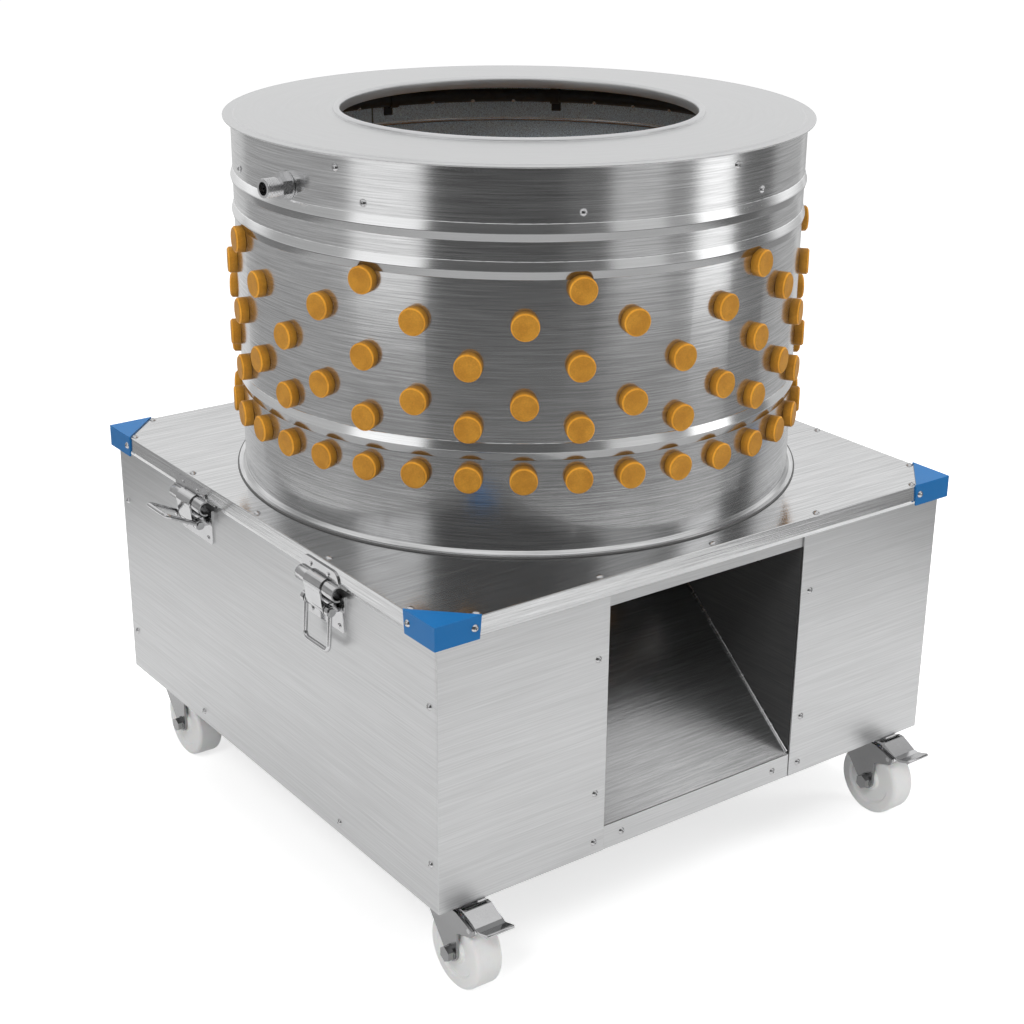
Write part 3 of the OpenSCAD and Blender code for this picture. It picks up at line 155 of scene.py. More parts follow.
class Graph:
    """The nodes of a material, of the world or of a Geometry Nodes group."""

    def __init__(self, tree: bpy.types.NodeTree) -> None:
        """Empties the tree."""
        self.tree = tree
        tree.nodes.clear()

    def node(self, kind: str, settings: dict | None = None, inputs: dict | None = None) -> bpy.types.Node:
        """Adds a node.

        Args:
            kind: the node's type.
            settings: the properties that are set first.
            inputs: a value or a link for each input, by name or index.

        Returns:
            The new node.
        """
        made = self.tree.nodes.new(kind)
        for name, value in (settings or {}).items():
            setattr(made, name, value)
        for key, value in (inputs or {}).items():
            source = value.socket if isinstance(value, Number) else value
            if isinstance(source, Socket):
                self.tree.links.new(source, made.inputs[key])
            else:
                made.inputs[key].default_value = source
        return made

    def mix(self, factor: Value, first: Colour, second: Colour, blend: str = "MIX") -> Socket:
        """Mixes two colours."""
        inputs = {0: factor, 6: rgba(first), 7: rgba(second)}
        return self.node("ShaderNodeMix", {"data_type": "RGBA", "blend_type": blend}, inputs).outputs[2]

    def grey(self, shade: Number) -> Socket:
        """Turns a number into a grey colour."""
        return self.node("ShaderNodeCombineColor", {}, {0: shade, 1: shade, 2: shade}).outputs[0]

    def tint(self, colour: Colour, shade: Number) -> Socket:
        """Multiplies a colour by a number."""
        return self.mix(1.0, colour, self.grey(shade), "MULTIPLY")

    def place(self, centre: Vector | None = None, turn: float = 0.0) -> Socket:
        """Gives the object's coordinates.

        Args:
            centre: the point that they are measured from, if it isn't the origin.
            turn: their turn about the upright axis, in degrees.

        Returns:
            The coordinates in metres.
        """
        made = self.node("ShaderNodeTexCoord").outputs["Object"]
        if centre is not None:
            moved = self.node("ShaderNodeVectorMath", {"operation": "SUBTRACT"}, {0: made, 1: centre})
            made = moved.outputs[0]
        if turn:
            inputs = {"Vector": made, "Rotation": (0, 0, math.radians(turn))}
            made = self.node("ShaderNodeMapping", {}, inputs).outputs[0]
        return made

    def normal(self) -> tuple[Number, Number, Number]:
        """Gives the three numbers of the object's normal."""
        return self.split(self.node("ShaderNodeTexCoord").outputs["Normal"])

    def split(self, vector: Socket) -> tuple[Number, Number, Number]:
        """Gives the three numbers of a vector."""
        made = self.node("ShaderNodeSeparateXYZ", {}, {0: vector})
        return tuple(Number(self, output) for output in made.outputs)

    def join(self, x: Value, y: Value, z: Value) -> Socket:
        """Makes a vector of three numbers."""
        return self.node("ShaderNodeCombineXYZ", {}, {0: x, 1: y, 2: z}).outputs[0]

    def noise(self, vector: Socket, scale: float, detail: float = 2.0, rough: float = 0.5) -> Number:
        """Gives a noise with a mean of about a half."""
        inputs = {"Vector": vector, "Scale": scale, "Detail": detail, "Roughness": rough}
        return Number(self, self.node("ShaderNodeTexNoise", {}, inputs).outputs[0])

    def bump(self, height: Number, depth: float, strength: float) -> Socket:
        """Turns a height into a normal, with its depth in metres."""
        inputs = {"Height": height, "Distance": depth, "Strength": strength}
        return self.node("ShaderNodeBump", {}, inputs).outputs[0]

    def rays(self, *kinds: str) -> Number:
        """Gives 1 for rays of the named kinds, such as Camera or Glossy, and 0 for the others."""
        path = self.node("ShaderNodeLightPath").outputs
        return sum(Number(self, path[f"Is {kind} Ray"]) for kind in kinds)

    def glow(self, colour: Colour, strength: Value) -> Socket:
        """Makes a shader that shines."""
        return self.node("ShaderNodeEmission", {}, {"Color": rgba(colour), "Strength": strength}).outputs[0]

    def end(self, shader: Socket) -> None:
        """Ends the material in a shader."""
        self.node("ShaderNodeOutputMaterial", {}, {"Surface": shader})


def new_material(name: str) -> tuple[Material, Graph]:
    """Makes an empty material and its graph."""
    material = bpy.data.materials.new(name)
    material.use_nodes = True
    return material, Graph(material.node_tree)


class Grain(Enum):
    """The way in which a sheet is brushed."""

    LEVEL = "level"
    AROUND = "around"


@dataclass(frozen=True)
class Finish:
    """A named finish, which becomes one material."""

    name: str

    def sockets(self, graph: Graph) -> dict:
        """Gives what feeds the surface, by the names of its sockets."""
        raise NotImplementedError

    def material(self) -> Material:
        """Makes the material."""
        material, graph = new_material(self.name)
        graph.end(graph.node("ShaderNodeBsdfPrincipled", {}, self.sockets(graph)).outputs[0])
        return material


@dataclass(frozen=True)
class BrushedSteel(Finish):
    """Stainless sheet with long fine brush strokes. Its lengths are in metres."""

    grey: float
    roughness: float
    grain: Grain = Grain.LEVEL
    contrast: float = 1.0
    stroke: float = 0.060
    metallic: float = 0.96
    blasted_inside: float = 0.0
    shaded_walls: float = 0.0
    painted_shade_below: float = 0.0
    fine_pitch: float = 0.0012
    broad_pitch: float = 0.0035
    fine_shade: float = 0.62
    broad_shade: float = 0.10
    cloud_shade: float = 0.06
    fine_rough: float = 0.10
    cloud_rough: float = 0.04
    cloud_scale: float = 5.0
    depth: float = 0.00006
    strength: float = 0.6
    broad_rises: float = 0.6

    def strokes(self, graph: Graph) -> list[Socket]:
        """Lays the strokes over the sheet.

        Args:
            graph: the material's graph.

        Returns:
            The coordinates in strokes for the fine and the broad grain.
        """
        turned_about = SEAM_AZIMUTH if self.grain is Grain.AROUND else 0.0
        x, y, z = graph.split(graph.place(turn=turned_about))
        fine, broad, along = 1 / self.fine_pitch, 1 / self.broad_pitch, 1 / self.stroke
        if self.grain is Grain.AROUND:
            arc = y.turn_to(x) * (DRUM_RADIUS * MM) * along
            radius = distance(x, y)
            return [graph.join(arc, z * fine, radius * fine * 0.3),
                    graph.join(arc * 0.5, z * broad, radius * broad)]
        sideways = graph.normal()[0].size().above(0.7)
        places = []
        for pitch, length in ((fine, along), (broad, along * 0.5)):
            across = x * ((1 - sideways) * (length - pitch) + pitch)
            places.append(graph.join(across, y * (sideways * (length - pitch) + pitch), z * pitch))
        return places

    def chute_painted_shade(self, graph: Graph, shade: Number, rough: Number) -> tuple[Number, Number, Number]:
        """Paints shade on the chute's walls and its floor's upper end, and paints shade on the floor's left
        side and light on its right side.

        Args:
            graph: the material's graph.
            shade: the sheet's shade.
            rough: the sheet's roughness.

        Returns:
            The new shade and roughness, and the metallic share.
        """
        foot, middle, upper, top = 0.115, 0.19, 0.20, 0.28
        low_dark, high_painted_shade, painted_light, painted_light_slope, inset = 0.28, 0.32, 1.04, 3.4, 0.02
        wall_painted_shade, wall_dull, wall_bare = 0.87, 0.35, 0.75
        x, _, z = graph.split(graph.place())
        wall = x.size().above(self.shaded_walls)
        floor = 1 - wall
        # Painted shade: the floor darkens towards its upper end and the walls darken; painted shade on the
        # floor's left side, painted light on its right side.
        depth = z.rise(foot, upper) * low_dark + z.rise(middle, top) * high_painted_shade
        across = (x * painted_light_slope - inset) * (1 - z.rise(foot, middle))
        shade = shade * (painted_light - depth * floor) * (1 - wall * wall_painted_shade) * (1 + across * floor)
        return shade, rough + wall * wall_dull, self.metallic - wall * wall_bare

    def in_drum(self, graph: Graph, colour: Socket, rough: Number) -> tuple:
        """Blasts the drum's inside dull and dark, with a darker seam at the back.

        Args:
            graph: the material's graph.
            colour: the sheet's colour.
            rough: the sheet's roughness.

        Returns:
            The new colour and roughness, and the metallic share.
        """
        blasted, grain_scale, seam_half, edge = (0.66, 0.80, 0.92), 900.0, 0.0006, 0.0004
        least, grit_share, seam_dark, dull, bare = 0.25, 1.5, 0.85, 0.5, 0.7
        x, y, _ = graph.split(graph.place(turn=SEAM_AZIMUTH))
        grit = graph.noise(graph.place(), grain_scale, 1.0)
        seam = (1 - y.size().rise(seam_half, seam_half + 0.0008)) * (1 - x.rise(-0.2, -0.1))
        inside = 1 - distance(x, y).rise(self.blasted_inside, self.blasted_inside + edge)
        dark = graph.tint(blasted, (least + grit * grit_share) * (1 - seam * seam_dark))
        rough = rough * (1 - inside) + inside * dull
        return graph.mix(inside, colour, dark), rough, self.metallic - inside * bare

    def sockets(self, graph: Graph) -> dict:
        """Gives what feeds the surface.

        Args:
            graph: the material's graph.

        Returns:
            A value or a link for each socket.
        """
        fine_place, broad_place = self.strokes(graph)
        fine = graph.noise(fine_place, 1.0, 3.0, 0.6)
        broad = graph.noise(broad_place, 1.0)
        cloud = graph.noise(graph.place(), self.cloud_scale)
        shade = 1 + fine.swing(self.fine_shade * self.contrast)
        shade = shade + broad.swing(self.broad_shade * self.contrast) + cloud.swing(self.cloud_shade)
        rough = self.roughness + fine.swing(self.fine_rough) + cloud.swing(self.cloud_rough)
        metallic = self.metallic
        if self.shaded_walls:
            shade, rough, metallic = self.chute_painted_shade(graph, shade, rough)
        if self.painted_shade_below:
            # Painted shade: the faces that look down, the underside of each bead, are darkened.
            shade = shade * (1 - graph.normal()[2].rise(-0.05, -0.15) * self.painted_shade_below)
        colour = graph.tint((self.grey * 0.995, self.grey, self.grey * 1.005), shade)
        if self.blasted_inside:
            colour, rough, metallic = self.in_drum(graph, colour, rough)
        return {
            "Base Color": colour, "Metallic": metallic, "Roughness": rough,
            "Normal": graph.bump(fine + broad * self.broad_rises, self.depth, self.strength * self.contrast),
        }


@dataclass(frozen=True)
class Grit:
    """A noise over a surface: its scale, how much it changes shade and roughness, and its detail."""

    scale: float
    shade: float
    rough: float = 0.0
    detail: float = 2.0
    harsh: float = 0.5

    def on(self, graph: Graph) -> Number:
        """Lays the noise over the surface."""
        return graph.noise(graph.place(), self.scale, self.detail, self.harsh)


@dataclass(frozen=True)
class Coat(Finish):
    """A coat with a noise that raises it and a flat one. With its own numbers it is moulded plastic."""

    colour: Colour
    roughness: float
    metallic: float = 0.0
    gloss: float = 0.5
    raised: Grit = Grit(900.0, 0.05)
    flat: Grit = Grit(30.0, 0.08, 0.12)
    flat_rises: float = 0.0
    depth: float = 0.00008
    strength: float = 0.4

    def tone(self, graph: Graph, flat: Number) -> Colour:
        """Gives the colour before its shading."""
        return self.colour

    def shaded(self, graph: Graph, shade: Number) -> Number:
        """Gives the shade with what a coat changes on its own shapes."""
        return shade

    def sockets(self, graph: Graph) -> dict:
        """Gives what feeds the surface.

        Args:
            graph: the material's graph.

        Returns:
            A value or a link for each socket.
        """
        raised, flat = self.raised.on(graph), self.flat.on(graph)
        shade = self.shaded(graph, 1 + raised.swing(self.raised.shade) + flat.swing(self.flat.shade))
        rough = self.roughness + raised.swing(self.raised.rough) + flat.swing(self.flat.rough)
        height = raised + flat * self.flat_rises
        return {
            "Base Color": graph.tint(self.tone(graph, flat), shade), "Metallic": self.metallic,
            "Roughness": rough, "Specular IOR Level": self.gloss,
            "Normal": graph.bump(height, self.depth, self.strength),
        }


@dataclass(frozen=True)
class Plated(Coat):
    """Polished or zinc-plated steel, with fine scuffs."""

    metallic: float = 1.0
    raised: Grit = Grit(60.0, 0.20, 0.12, 3.0, 0.6)
    flat: Grit = Grit(700.0, 0.10, 0.08)
    depth: float = 0.0001
    strength: float = 0.25


@dataclass(frozen=True)
class Casting(Coat):
    """Painted or blackened casting with a grainy skin."""

    raised: Grit = Grit(500.0, 0.35, 0.0, 3.0, 0.6)
    flat: Grit = Grit(18.0, 0.3, 0.2)
    depth: float = 0.0003
    strength: float = 0.5


@dataclass(frozen=True)
class Rubber(Coat):
    """Moulded rubber with a mottled tone and fine pits, with painted shade at the foot of each head on the
    drum and a painted highlight on its rounded edge.
    """

    gloss: float = 0.3
    raised: Grit = Grit(800.0, 0.48, 0.16)
    flat: Grit = Grit(70.0, 0.0, 0.1, 3.0, 0.6)
    flat_rises: float = 1.0
    depth: float = 0.00012
    strength: float = 0.5
    dark: Colour = (0.030, 0.034, 0.037)
    head_foot: float = 0.0
    head_edge: float = 0.0
    foot_painted_shade: float = 0.35
    edge_painted_highlight: float = 0.50

    def tone(self, graph: Graph, flat: Number) -> Colour:
        """Mottles the colour with the dark one."""
        return graph.mix(flat.rise(0.25, 0.75), self.dark, self.colour)

    def shaded(self, graph: Graph, shade: Number) -> Number:
        """Paints shade on the foot of each head on the drum and a highlight on its rounded edge.

        Args:
            graph: the material's graph.
            shade: the rubber's shade.

        Returns:
            The new shade.
        """
        if not self.head_edge:
            return shade
        start, end = self.head_foot, self.head_edge
        x, y, _ = graph.split(graph.place())
        radius = distance(x, y)
        # Painted shade at the foot of each head, and a painted highlight along its rounded edge.
        foot = radius.rise(start, start + 0.0005) - radius.rise(start + 0.001, end - 0.003)
        edge = radius.rise(end - 0.0016, end - 0.0011) - radius.rise(end - 0.0003, end - 0.0001)
        return shade * (1 - foot * self.foot_painted_shade) * (1 + edge * self.edge_painted_highlight)


@dataclass(frozen=True)
class Nylon(Coat):
    """Nylon of a wheel, which lets light in a little and is scuffed from its tread's radius on."""

    raised: Grit = Grit(700.0, 0.05)
    centre: tuple[float, float, float] = (0.0, 0.0, 0.0)
    tread_from: float = 0.0
    scuffed: Colour = (0.50, 0.49, 0.47)
    scuff_edge: float = 0.0012
    scuff_share: float = 0.10
    scuff_rough: float = 0.15

    def sockets(self, graph: Graph) -> dict:
        """Gives what feeds the surface.

        Args:
            graph: the material's graph.

        Returns:
            A value or a link for each socket.
        """
        made = super().sockets(graph)
        x, y, z = graph.split(graph.place(Vector(self.centre)))
        radius = distance(y, z)
        streak = graph.noise(graph.join(x * 900.0, y.turn_to(z) * 6.0, radius * 200.0), 1.0)
        worn = radius.rise(self.tread_from, self.tread_from + self.scuff_edge) * streak.rise(0.5, 0.9)
        made["Base Color"] = graph.mix(worn * self.scuff_share, made["Base Color"], self.scuffed)
        made["Roughness"] = made["Roughness"] + worn * self.scuff_rough
        return made | {"Subsurface Weight": 0.15, "Subsurface Scale": 0.004}


FINISHES = {
    "sheet": BrushedSteel("sheet_brushed", 0.58, 0.34, contrast=0.75, stroke=0.09),
    "deck": BrushedSteel("deck_brushed", 0.60, 0.14, contrast=1.7, stroke=0.08),
    # The chute's sheet carries painted shade on its walls and floor, and painted light on the floor's right
    # side.
    "chute": BrushedSteel("chute_brushed", 0.58, 0.22, contrast=1.6, stroke=0.05, shaded_walls=0.1176),
    "drum": BrushedSteel("drum_brushed", 0.62, 0.18, Grain.AROUND, 1.7, blasted_inside=0.2739),
    # The beads carry painted shade on their undersides.
    "bead": BrushedSteel("bead_burnished", 0.90, 0.15, Grain.AROUND, 0.4, 0.08, painted_shade_below=0.62),
    "lid": BrushedSteel("lid_satin", 0.67, 0.40, Grain.AROUND, 0.25),
    "tube": BrushedSteel("tube_satin", 0.50, 0.38),
    "bright": Plated("bright_steel", (0.58, 0.58, 0.5858), 0.13),
    "zinc": Plated("zinc_plate", (0.36, 0.36, 0.3636), 0.22),
    "turned": Plated("turned_steel", (0.70, 0.70, 0.707), 0.26),
    "iron": Casting("black_iron", (0.045, 0.047, 0.05), 0.5, 0.6),
    "housing": Casting("bearing_paint", (0.05, 0.10, 0.15), 0.42),
    "motor": Casting("motor_paint", (0.13, 0.15, 0.17), 0.45, raised=Grit(900.0, 0.35, 0.0, 3.0, 0.6)),
    # Near-black finish of the screws' recess crosses: painted shade in the recesses.
    "recess": Casting("screw_recess_painted_shade", (0.05, 0.05, 0.05), 0.4, 0.8),
    "belt": Rubber("black_rubber", (0.046, 0.052, 0.056), 0.42),
    # The finger heads carry painted shade at their foot and a painted highlight on their edge.
    "finger": Rubber("ochre_rubber", (0.68, 0.315, 0.034), 0.50, dark=(0.54, 0.235, 0.022),
                     head_foot=DRUM_RADIUS * MM, head_edge=HEAD_RADIUS * MM),
    "cap": Coat("blue_plastic", (0.007, 0.170, 0.47), 0.38, gloss=0.28),
    "plastic": Coat("black_plastic", (0.018, 0.018, 0.02), 0.42),
    "green": Coat("green_plastic", (0.015, 0.32, 0.06), 0.25),
    "red": Coat("red_plastic", (0.50, 0.012, 0.010), 0.25),
    "sealant": Coat("grey_sealant", (0.12, 0.12, 0.12), 0.4),
}


def show(name: str, data: bpy.types.ID) -> bpy.types.Object:
    """Puts a new object with that mesh, lamp or camera into the scene."""
    made = bpy.data.objects.new(name, data)
    bpy.context.scene.collection.objects.link(made)
    return made


def mesh_of(name: str, solids: list[Solid], smooth: bool = True) -> Mesh:
    """Makes one mesh of solids.

    Args:
        name: the mesh's name.
        solids: the points and faces of each solid.
        smooth: whether its faces are shaded smooth.

    Returns:
        The mesh.
    """
    points, faces = [], []
    for corners, sides in solids:
        base = len(points)
        points += [tuple(corner) for corner in corners]
        faces += [tuple(base + index for index in side) for side in sides]
    mesh = bpy.data.meshes.new(name)
    mesh.from_pydata(points, [], faces)
    mesh.update()
    if smooth:
        mesh.shade_smooth()
    return mesh


def loft(rings: list[list[Vector]], closed: bool = False, capped: bool = True) -> Solid:
    """Joins rings of points, each anticlockwise as seen from the last one's side.

    Args:
        rings: the rings in order, with as many points in each.
        closed: whether the last ring joins the first.
        capped: whether a face closes each end where the rings don't.

    Returns:
        The points and faces.
    """
    count = len(rings[0])
    faces = []
    for row in range(len(rings) if closed else len(rings) - 1):
        low, high = row * count, (row + 1) % len(rings) * count
        for step in range(count):
            beside = (step + 1) % count
            faces.append((low + step, low + beside, high + beside, high + step))
    if capped and not closed:
        faces.append(tuple(reversed(range(count))))
        faces.append(tuple((len(rings) - 1) * count + step for step in range(count)))
    return [point for ring in rings for point in ring], faces


def turned(profile: Outline, steps: int, closed: bool = False) -> Solid:
    """Turns a profile of radii and heights in millimetres, which goes up on its outer side."""
    turns = [360 * step / steps for step in range(steps)]
    return loft([[around(radius, turn, height) for turn in turns] for radius, height in profile], closed)


def regular(radius: float, sides: int) -> Outline:
    """Gives the corners of a regular outline."""
    angles = [math.radians(360 * side / sides) for side in range(sides)]
    return [(radius * math.cos(angle), radius * math.sin(angle)) for angle in angles]


def stacked(layers: list[tuple[Outline, float]]) -> Solid:
    """Joins flat outlines that lie at heights, all in millimetres."""
    return loft([[mm(x, y, height) for x, y in outline] for outline, height in layers])


class Scatter:
    """A Geometry Nodes tree that sets a small shape on many places."""

    def __init__(self) -> None:
        """Builds the tree."""
        self.tree = bpy.data.node_groups.new("set_on_places", "GeometryNodeTree")
        node = Graph(self.tree).node
        kinds = {
            "Places": "Geometry", "Shape": "Object", "Most Turn": "Float", "Seed": "Int",
            "Finish": "Material",
        }
        face = self.tree.interface
        for name, kind in kinds.items():
            face.new_socket(name, in_out="INPUT", socket_type="NodeSocket" + kind)
        face.new_socket("Result", in_out="OUTPUT", socket_type="NodeSocketGeometry")
        self.keys = {item.name: item.identifier for item in face.items_tree if item.in_out == "INPUT"}
        start = node("NodeGroupInput").outputs
        shape = node("GeometryNodeObjectInfo", {}, {"Object": start["Shape"]})
        facing = node("GeometryNodeInputNamedAttribute", {"data_type": "FLOAT_VECTOR"}, {"Name": "facing"})
        aim = node("FunctionNodeAlignRotationToVector", {"axis": "Z"}, {"Vector": facing.outputs[0]})
        turn = node("FunctionNodeRandomValue", {"data_type": "FLOAT"},
                    {2: 0.0, 3: start["Most Turn"], "Seed": start["Seed"]})
        spin = node("FunctionNodeAxisAngleToRotation", {}, {"Axis": UP, "Angle": turn.outputs[1]})
        both = node("FunctionNodeRotateRotation", {"rotation_space": "LOCAL"},
                    {"Rotation": aim.outputs[0], "Rotate By": spin.outputs[0]})
        placed = node("GeometryNodeInstanceOnPoints", {}, {
            "Points": start["Places"], "Instance": shape.outputs["Geometry"], "Rotation": both.outputs[0]})
        real = node("GeometryNodeRealizeInstances", {}, {0: placed.outputs[0]})
        dressed = node("GeometryNodeSetMaterial", {}, {0: real.outputs[0], "Material": start["Finish"]})
        node("NodeGroupOutput", {}, {0: dressed.outputs[0]})

    def mesh(self, name: str, shape: Mesh, places: list[Place], **values: object) -> Mesh:
        """Sets a shape on places.

        Args:
            name: the new mesh's name.
            shape: the small shape, which stands on the origin and looks up.
            places: each place and the way in which the shape looks there.
            values: the tree's other inputs, with underscores for spaces.

        Returns:
            One plain mesh.
        """
        carrier = bpy.data.meshes.new(name + "_places")
        carrier.from_pydata([tuple(point) for point, _ in places], [], [])
        facing = carrier.attributes.new("facing", "FLOAT_VECTOR", "POINT")
        for index, (_, direction) in enumerate(places):
            facing.data[index].vector = direction
        sample, holder = show(name + "_shape", shape), show(name + "_holder", carrier)
        modifier = holder.modifiers.new("scatter", "NODES")
        modifier.node_group = self.tree
        modifier[self.keys["Shape"]] = sample
        for key, value in values.items():
            modifier[self.keys[key.replace("_", " ")]] = value
        graph = bpy.context.evaluated_depsgraph_get()
        mesh = bpy.data.meshes.new_from_object(holder.evaluated_get(graph))
        for item in (holder, sample):
            bpy.data.objects.remove(item)
        mesh.name = name
        return mesh


@dataclass(frozen=True)
class ScrewRecess:
    """A dark cross on a screw's round head, which paints the shade of its cross recess."""

    head: float = 7.0
    height: float = 2.2
    reach: float = 1.9
    width: float = 0.8
    proud: float = 0.05
    sunk: float = 0.4
    end_share: float = 0.7

    def crown(self, radius: float) -> float:
        """Gives the head's height at a distance from its middle."""
        sphere = ((self.head / 2) ** 2 + self.height ** 2) / (2 * self.height)
        return self.height - sphere + math.sqrt(sphere ** 2 - radius ** 2)

    def mesh(self) -> Mesh:
        """Makes the four arms of the cross.

        Returns:
            The mesh.
        """
        half = self.width / 2
        end = half * self.end_share
        arm = [(0.0, 0.0), (half, -half), (self.reach, -end), (self.reach, end), (half, half)]
        arms = []
        for quarter in range(4):
            turn = Matrix.Rotation(math.radians(90 * quarter), 3, "Z")
            arms.append(loft([[turn @ mm(x, y, self.crown(x) + lift) for x, y in arm]
                              for lift in (-self.sunk, self.proud)]))
        return mesh_of("recess", arms, smooth=False)


@dataclass(frozen=True)
class HexBolt:
    """A hexagon head with a washer below it."""

    across: float = 13.0
    height: float = 5.3
    washer: float = 8.0
    washer_height: float = 1.2
    chamfer: float = 0.5
    crown_share: float = 0.9

    def mesh(self) -> Mesh:
        """Makes the head and the washer.

        Returns:
            The mesh.
        """
        corner = self.across / 2 / math.cos(math.radians(30))
        hexagon, crown = regular(corner, 6), regular(corner * self.crown_share, 6)
        low, high = self.washer_height, self.washer_height + self.height
        washer = stacked([(regular(self.washer, 16), 0.0), (regular(self.washer, 16), low)])
        head = stacked([(hexagon, low), (hexagon, high - self.chamfer), (crown, high)])
        return mesh_of("bolt", [washer, head], smooth=False)


@dataclass
class Group:
    """A group of the machine's nodes and small pieces. All its sizes are in millimetres."""

    finishes: dict[str, Material]
    scatter: Scatter
    coats: ClassVar[dict[str, list[str]]] = {}
    rounded: ClassVar[dict[float, list[str]]] = {}
    weld_gap: ClassVar[float] = 0.01
    edge_steps: ClassVar[int] = 2
    sharp_angle: ClassVar[float] = 35.0

    def paint(self, finish: Material, name: str) -> None:
        """Gives a node a material.

        Args:
            finish: the material.
            name: the node's name.
        """
        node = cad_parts[name]
        if not node.material_slots:
            node.data.materials.append(finish)
        for slot in node.material_slots:
            slot.material = finish

    def soften(self, width: float, name: str) -> None:
        """Rounds the sharp edges of a node.

        Args:
            width: the edge's radius.
            name: the node's name.
        """
        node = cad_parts[name]
        weld = node.modifiers.new("weld", "WELD")
        weld.merge_threshold = self.weld_gap * MM
        bevel = node.modifiers.new("edges", "BEVEL")
        bevel.width = width * MM
        bevel.segments = self.edge_steps
        bevel.limit_method = "ANGLE"
        bevel.angle_limit = math.radians(self.sharp_angle)
        bevel.harden_normals = True

    def add(self, name: str, mesh: Mesh, body: str, slot: str, finish: str) -> None:
        """Adds a piece.

        Args:
            name: the piece's name.
            mesh: its mesh, in place.
            body: the body that it rides on.
            slot: the record's material slot; not used.
            finish: its finish.
        """
        piece = show(name, mesh)
        mesh.materials.clear()
        mesh.materials.append(self.finishes[finish])
        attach(piece, body)
        LOG.info("%s added", name)

    def strew(self, name: str, shape: Mesh, places: list[Place], body: str, slot: str, finish: str,
              most_turn: float = 0.0, seed: int = 1) -> None:
        """Adds a piece that sets a small shape on places.

        Args:
            name: the piece's name.
            shape: the small shape.
            places: each place and the way in which the shape looks there.
            body: the body that the piece rides on.
            slot: the record's material slot.
            finish: its finish.
            most_turn: the largest random turn of the shape, in radians.
            seed: the seed of that turn.
        """
        coat = self.finishes[finish]
        mesh = self.scatter.mesh(name, shape, places, Most_Turn=most_turn, Seed=seed, Finish=coat)
        self.add(name, mesh, body, slot, finish)

    def recesses(self, name: str, recess: ScrewRecess, places: list[Place], body: str, seed: int) -> None:
        """Adds dark crosses that paint the shade in the screws' cross recesses, each turned in its own way.
        """
        self.strew(name, recess.mesh(), places, body, "fastener_steel", "recess", CROSS_TURN, seed)

    def bolt_on(self, name: str, bolt: HexBolt, places: list[Place], seed: int) -> None:
        """Adds bolts to the cabinet, each turned in its own way."""
        self.strew(name, bolt.mesh(), places, "cabinet", "zinc_steel", "zinc", HEXAGON_TURN, seed)

    def dress(self) -> None:
        """Paints the nodes and rounds their sharp edges."""
        for finish, names in self.coats.items():
            for name in names:
                self.paint(self.finishes[finish], name)
        for width, names in self.rounded.items():
            for name in names:
                self.soften(width, name)


@dataclass
class Cabinet(Group):
    """The panels, frame, chute and pan."""

    half: float = 302.0
    post_x: float = 129.8
    corner: float = 290.0
    low_z: float = 102.5
    lower_z: float = 136.0
    post_z: float = 154.0
    upper_z: float = 290.0
    low_screw: float = 136.0
    sill_screw: float = 96.0
    sill_inset: float = 0.8
    fold_x: float = 117.0
    fold_ends: tuple[float, float] = (-299.0, -74.0)
    fold_r: float = 1.2
    fold_lift: float = 1.5
    fold_sides: int = 8
    chute_front: float = -300.0
    chute_low: float = 115.0
    chute_angle: float = 39.0
    panels = [
        "left_panel", "right_panel", "back_panel", "front_left_panel", "front_right_panel", "front_sill",
    ]
    coats = {
        "sheet": [*panels, "feather_pan", "pan_ring"], "chute": ["chute"],
        "tube": ["base_frame", "drive_mount"], "bright": ["panel_screws"],
    }
    rounded = {0.5: panels}

    def screws(self) -> list[Place]:
        """Lists the panel screws.

        Returns:
            Each screw's foot and the way in which it looks.
        """
        on_sides = [(self.corner, self.lower_z), (self.corner, self.upper_z), (self.low_screw, self.low_z)]
        places = []
        for side in (-1, 1):
            level = Vector((side, 0, 0))
            back_z = self.lower_z if side < 0 else self.upper_z
            for end in (-1, 1):
                for y, z in on_sides:
                    places.append((mm(side * self.half, end * y, z), level))
                places.append((mm(end * self.corner, self.half, back_z), BACK))
            for z in (self.low_z, self.post_z, self.upper_z):
                places.append((mm(side * self.post_x, -self.half, z), AHEAD))
            places.append((mm(side * self.sill_screw, self.sill_inset - self.half, self.low_z), AHEAD))
            places.append((mm(side * self.low_screw, self.half, self.low_z), BACK))
        return places

    def folds(self) -> Mesh:
        """Makes the two weld beads along the chute's floor, where it meets the walls.

        Returns:
            The mesh of both.
        """
        slope = math.radians(self.chute_angle)
        across = Vector((0, math.sin(slope), -math.cos(slope)))
        angles = [2 * math.pi * step / self.fold_sides for step in range(self.fold_sides)]
        circle = [Vector((math.cos(angle), 0, 0)) + across * math.sin(angle) for angle in angles]
        beads = []
        for side in (-1, 1):
            rings = []
            for y in self.fold_ends:
                z = self.chute_low + (y - self.chute_front) * math.tan(slope) + self.fold_lift
                rings.append([mm(side * self.fold_x, y, z) + point * self.fold_r * MM for point in circle])
            beads.append(loft(rings))
        return mesh_of("chute_folds", beads)

    def dress(self) -> None:
        """Dresses the cabinet and adds the dark crosses that paint the shade in its screws' recesses, and
        the chute's weld beads.
        """
        super().dress()
        self.recesses("panel_screw_recesses", ScrewRecess(), self.screws(), "cabinet", 3)
        self.add("chute_folds", self.folds(), "cabinet", "sheet_steel", "turned")


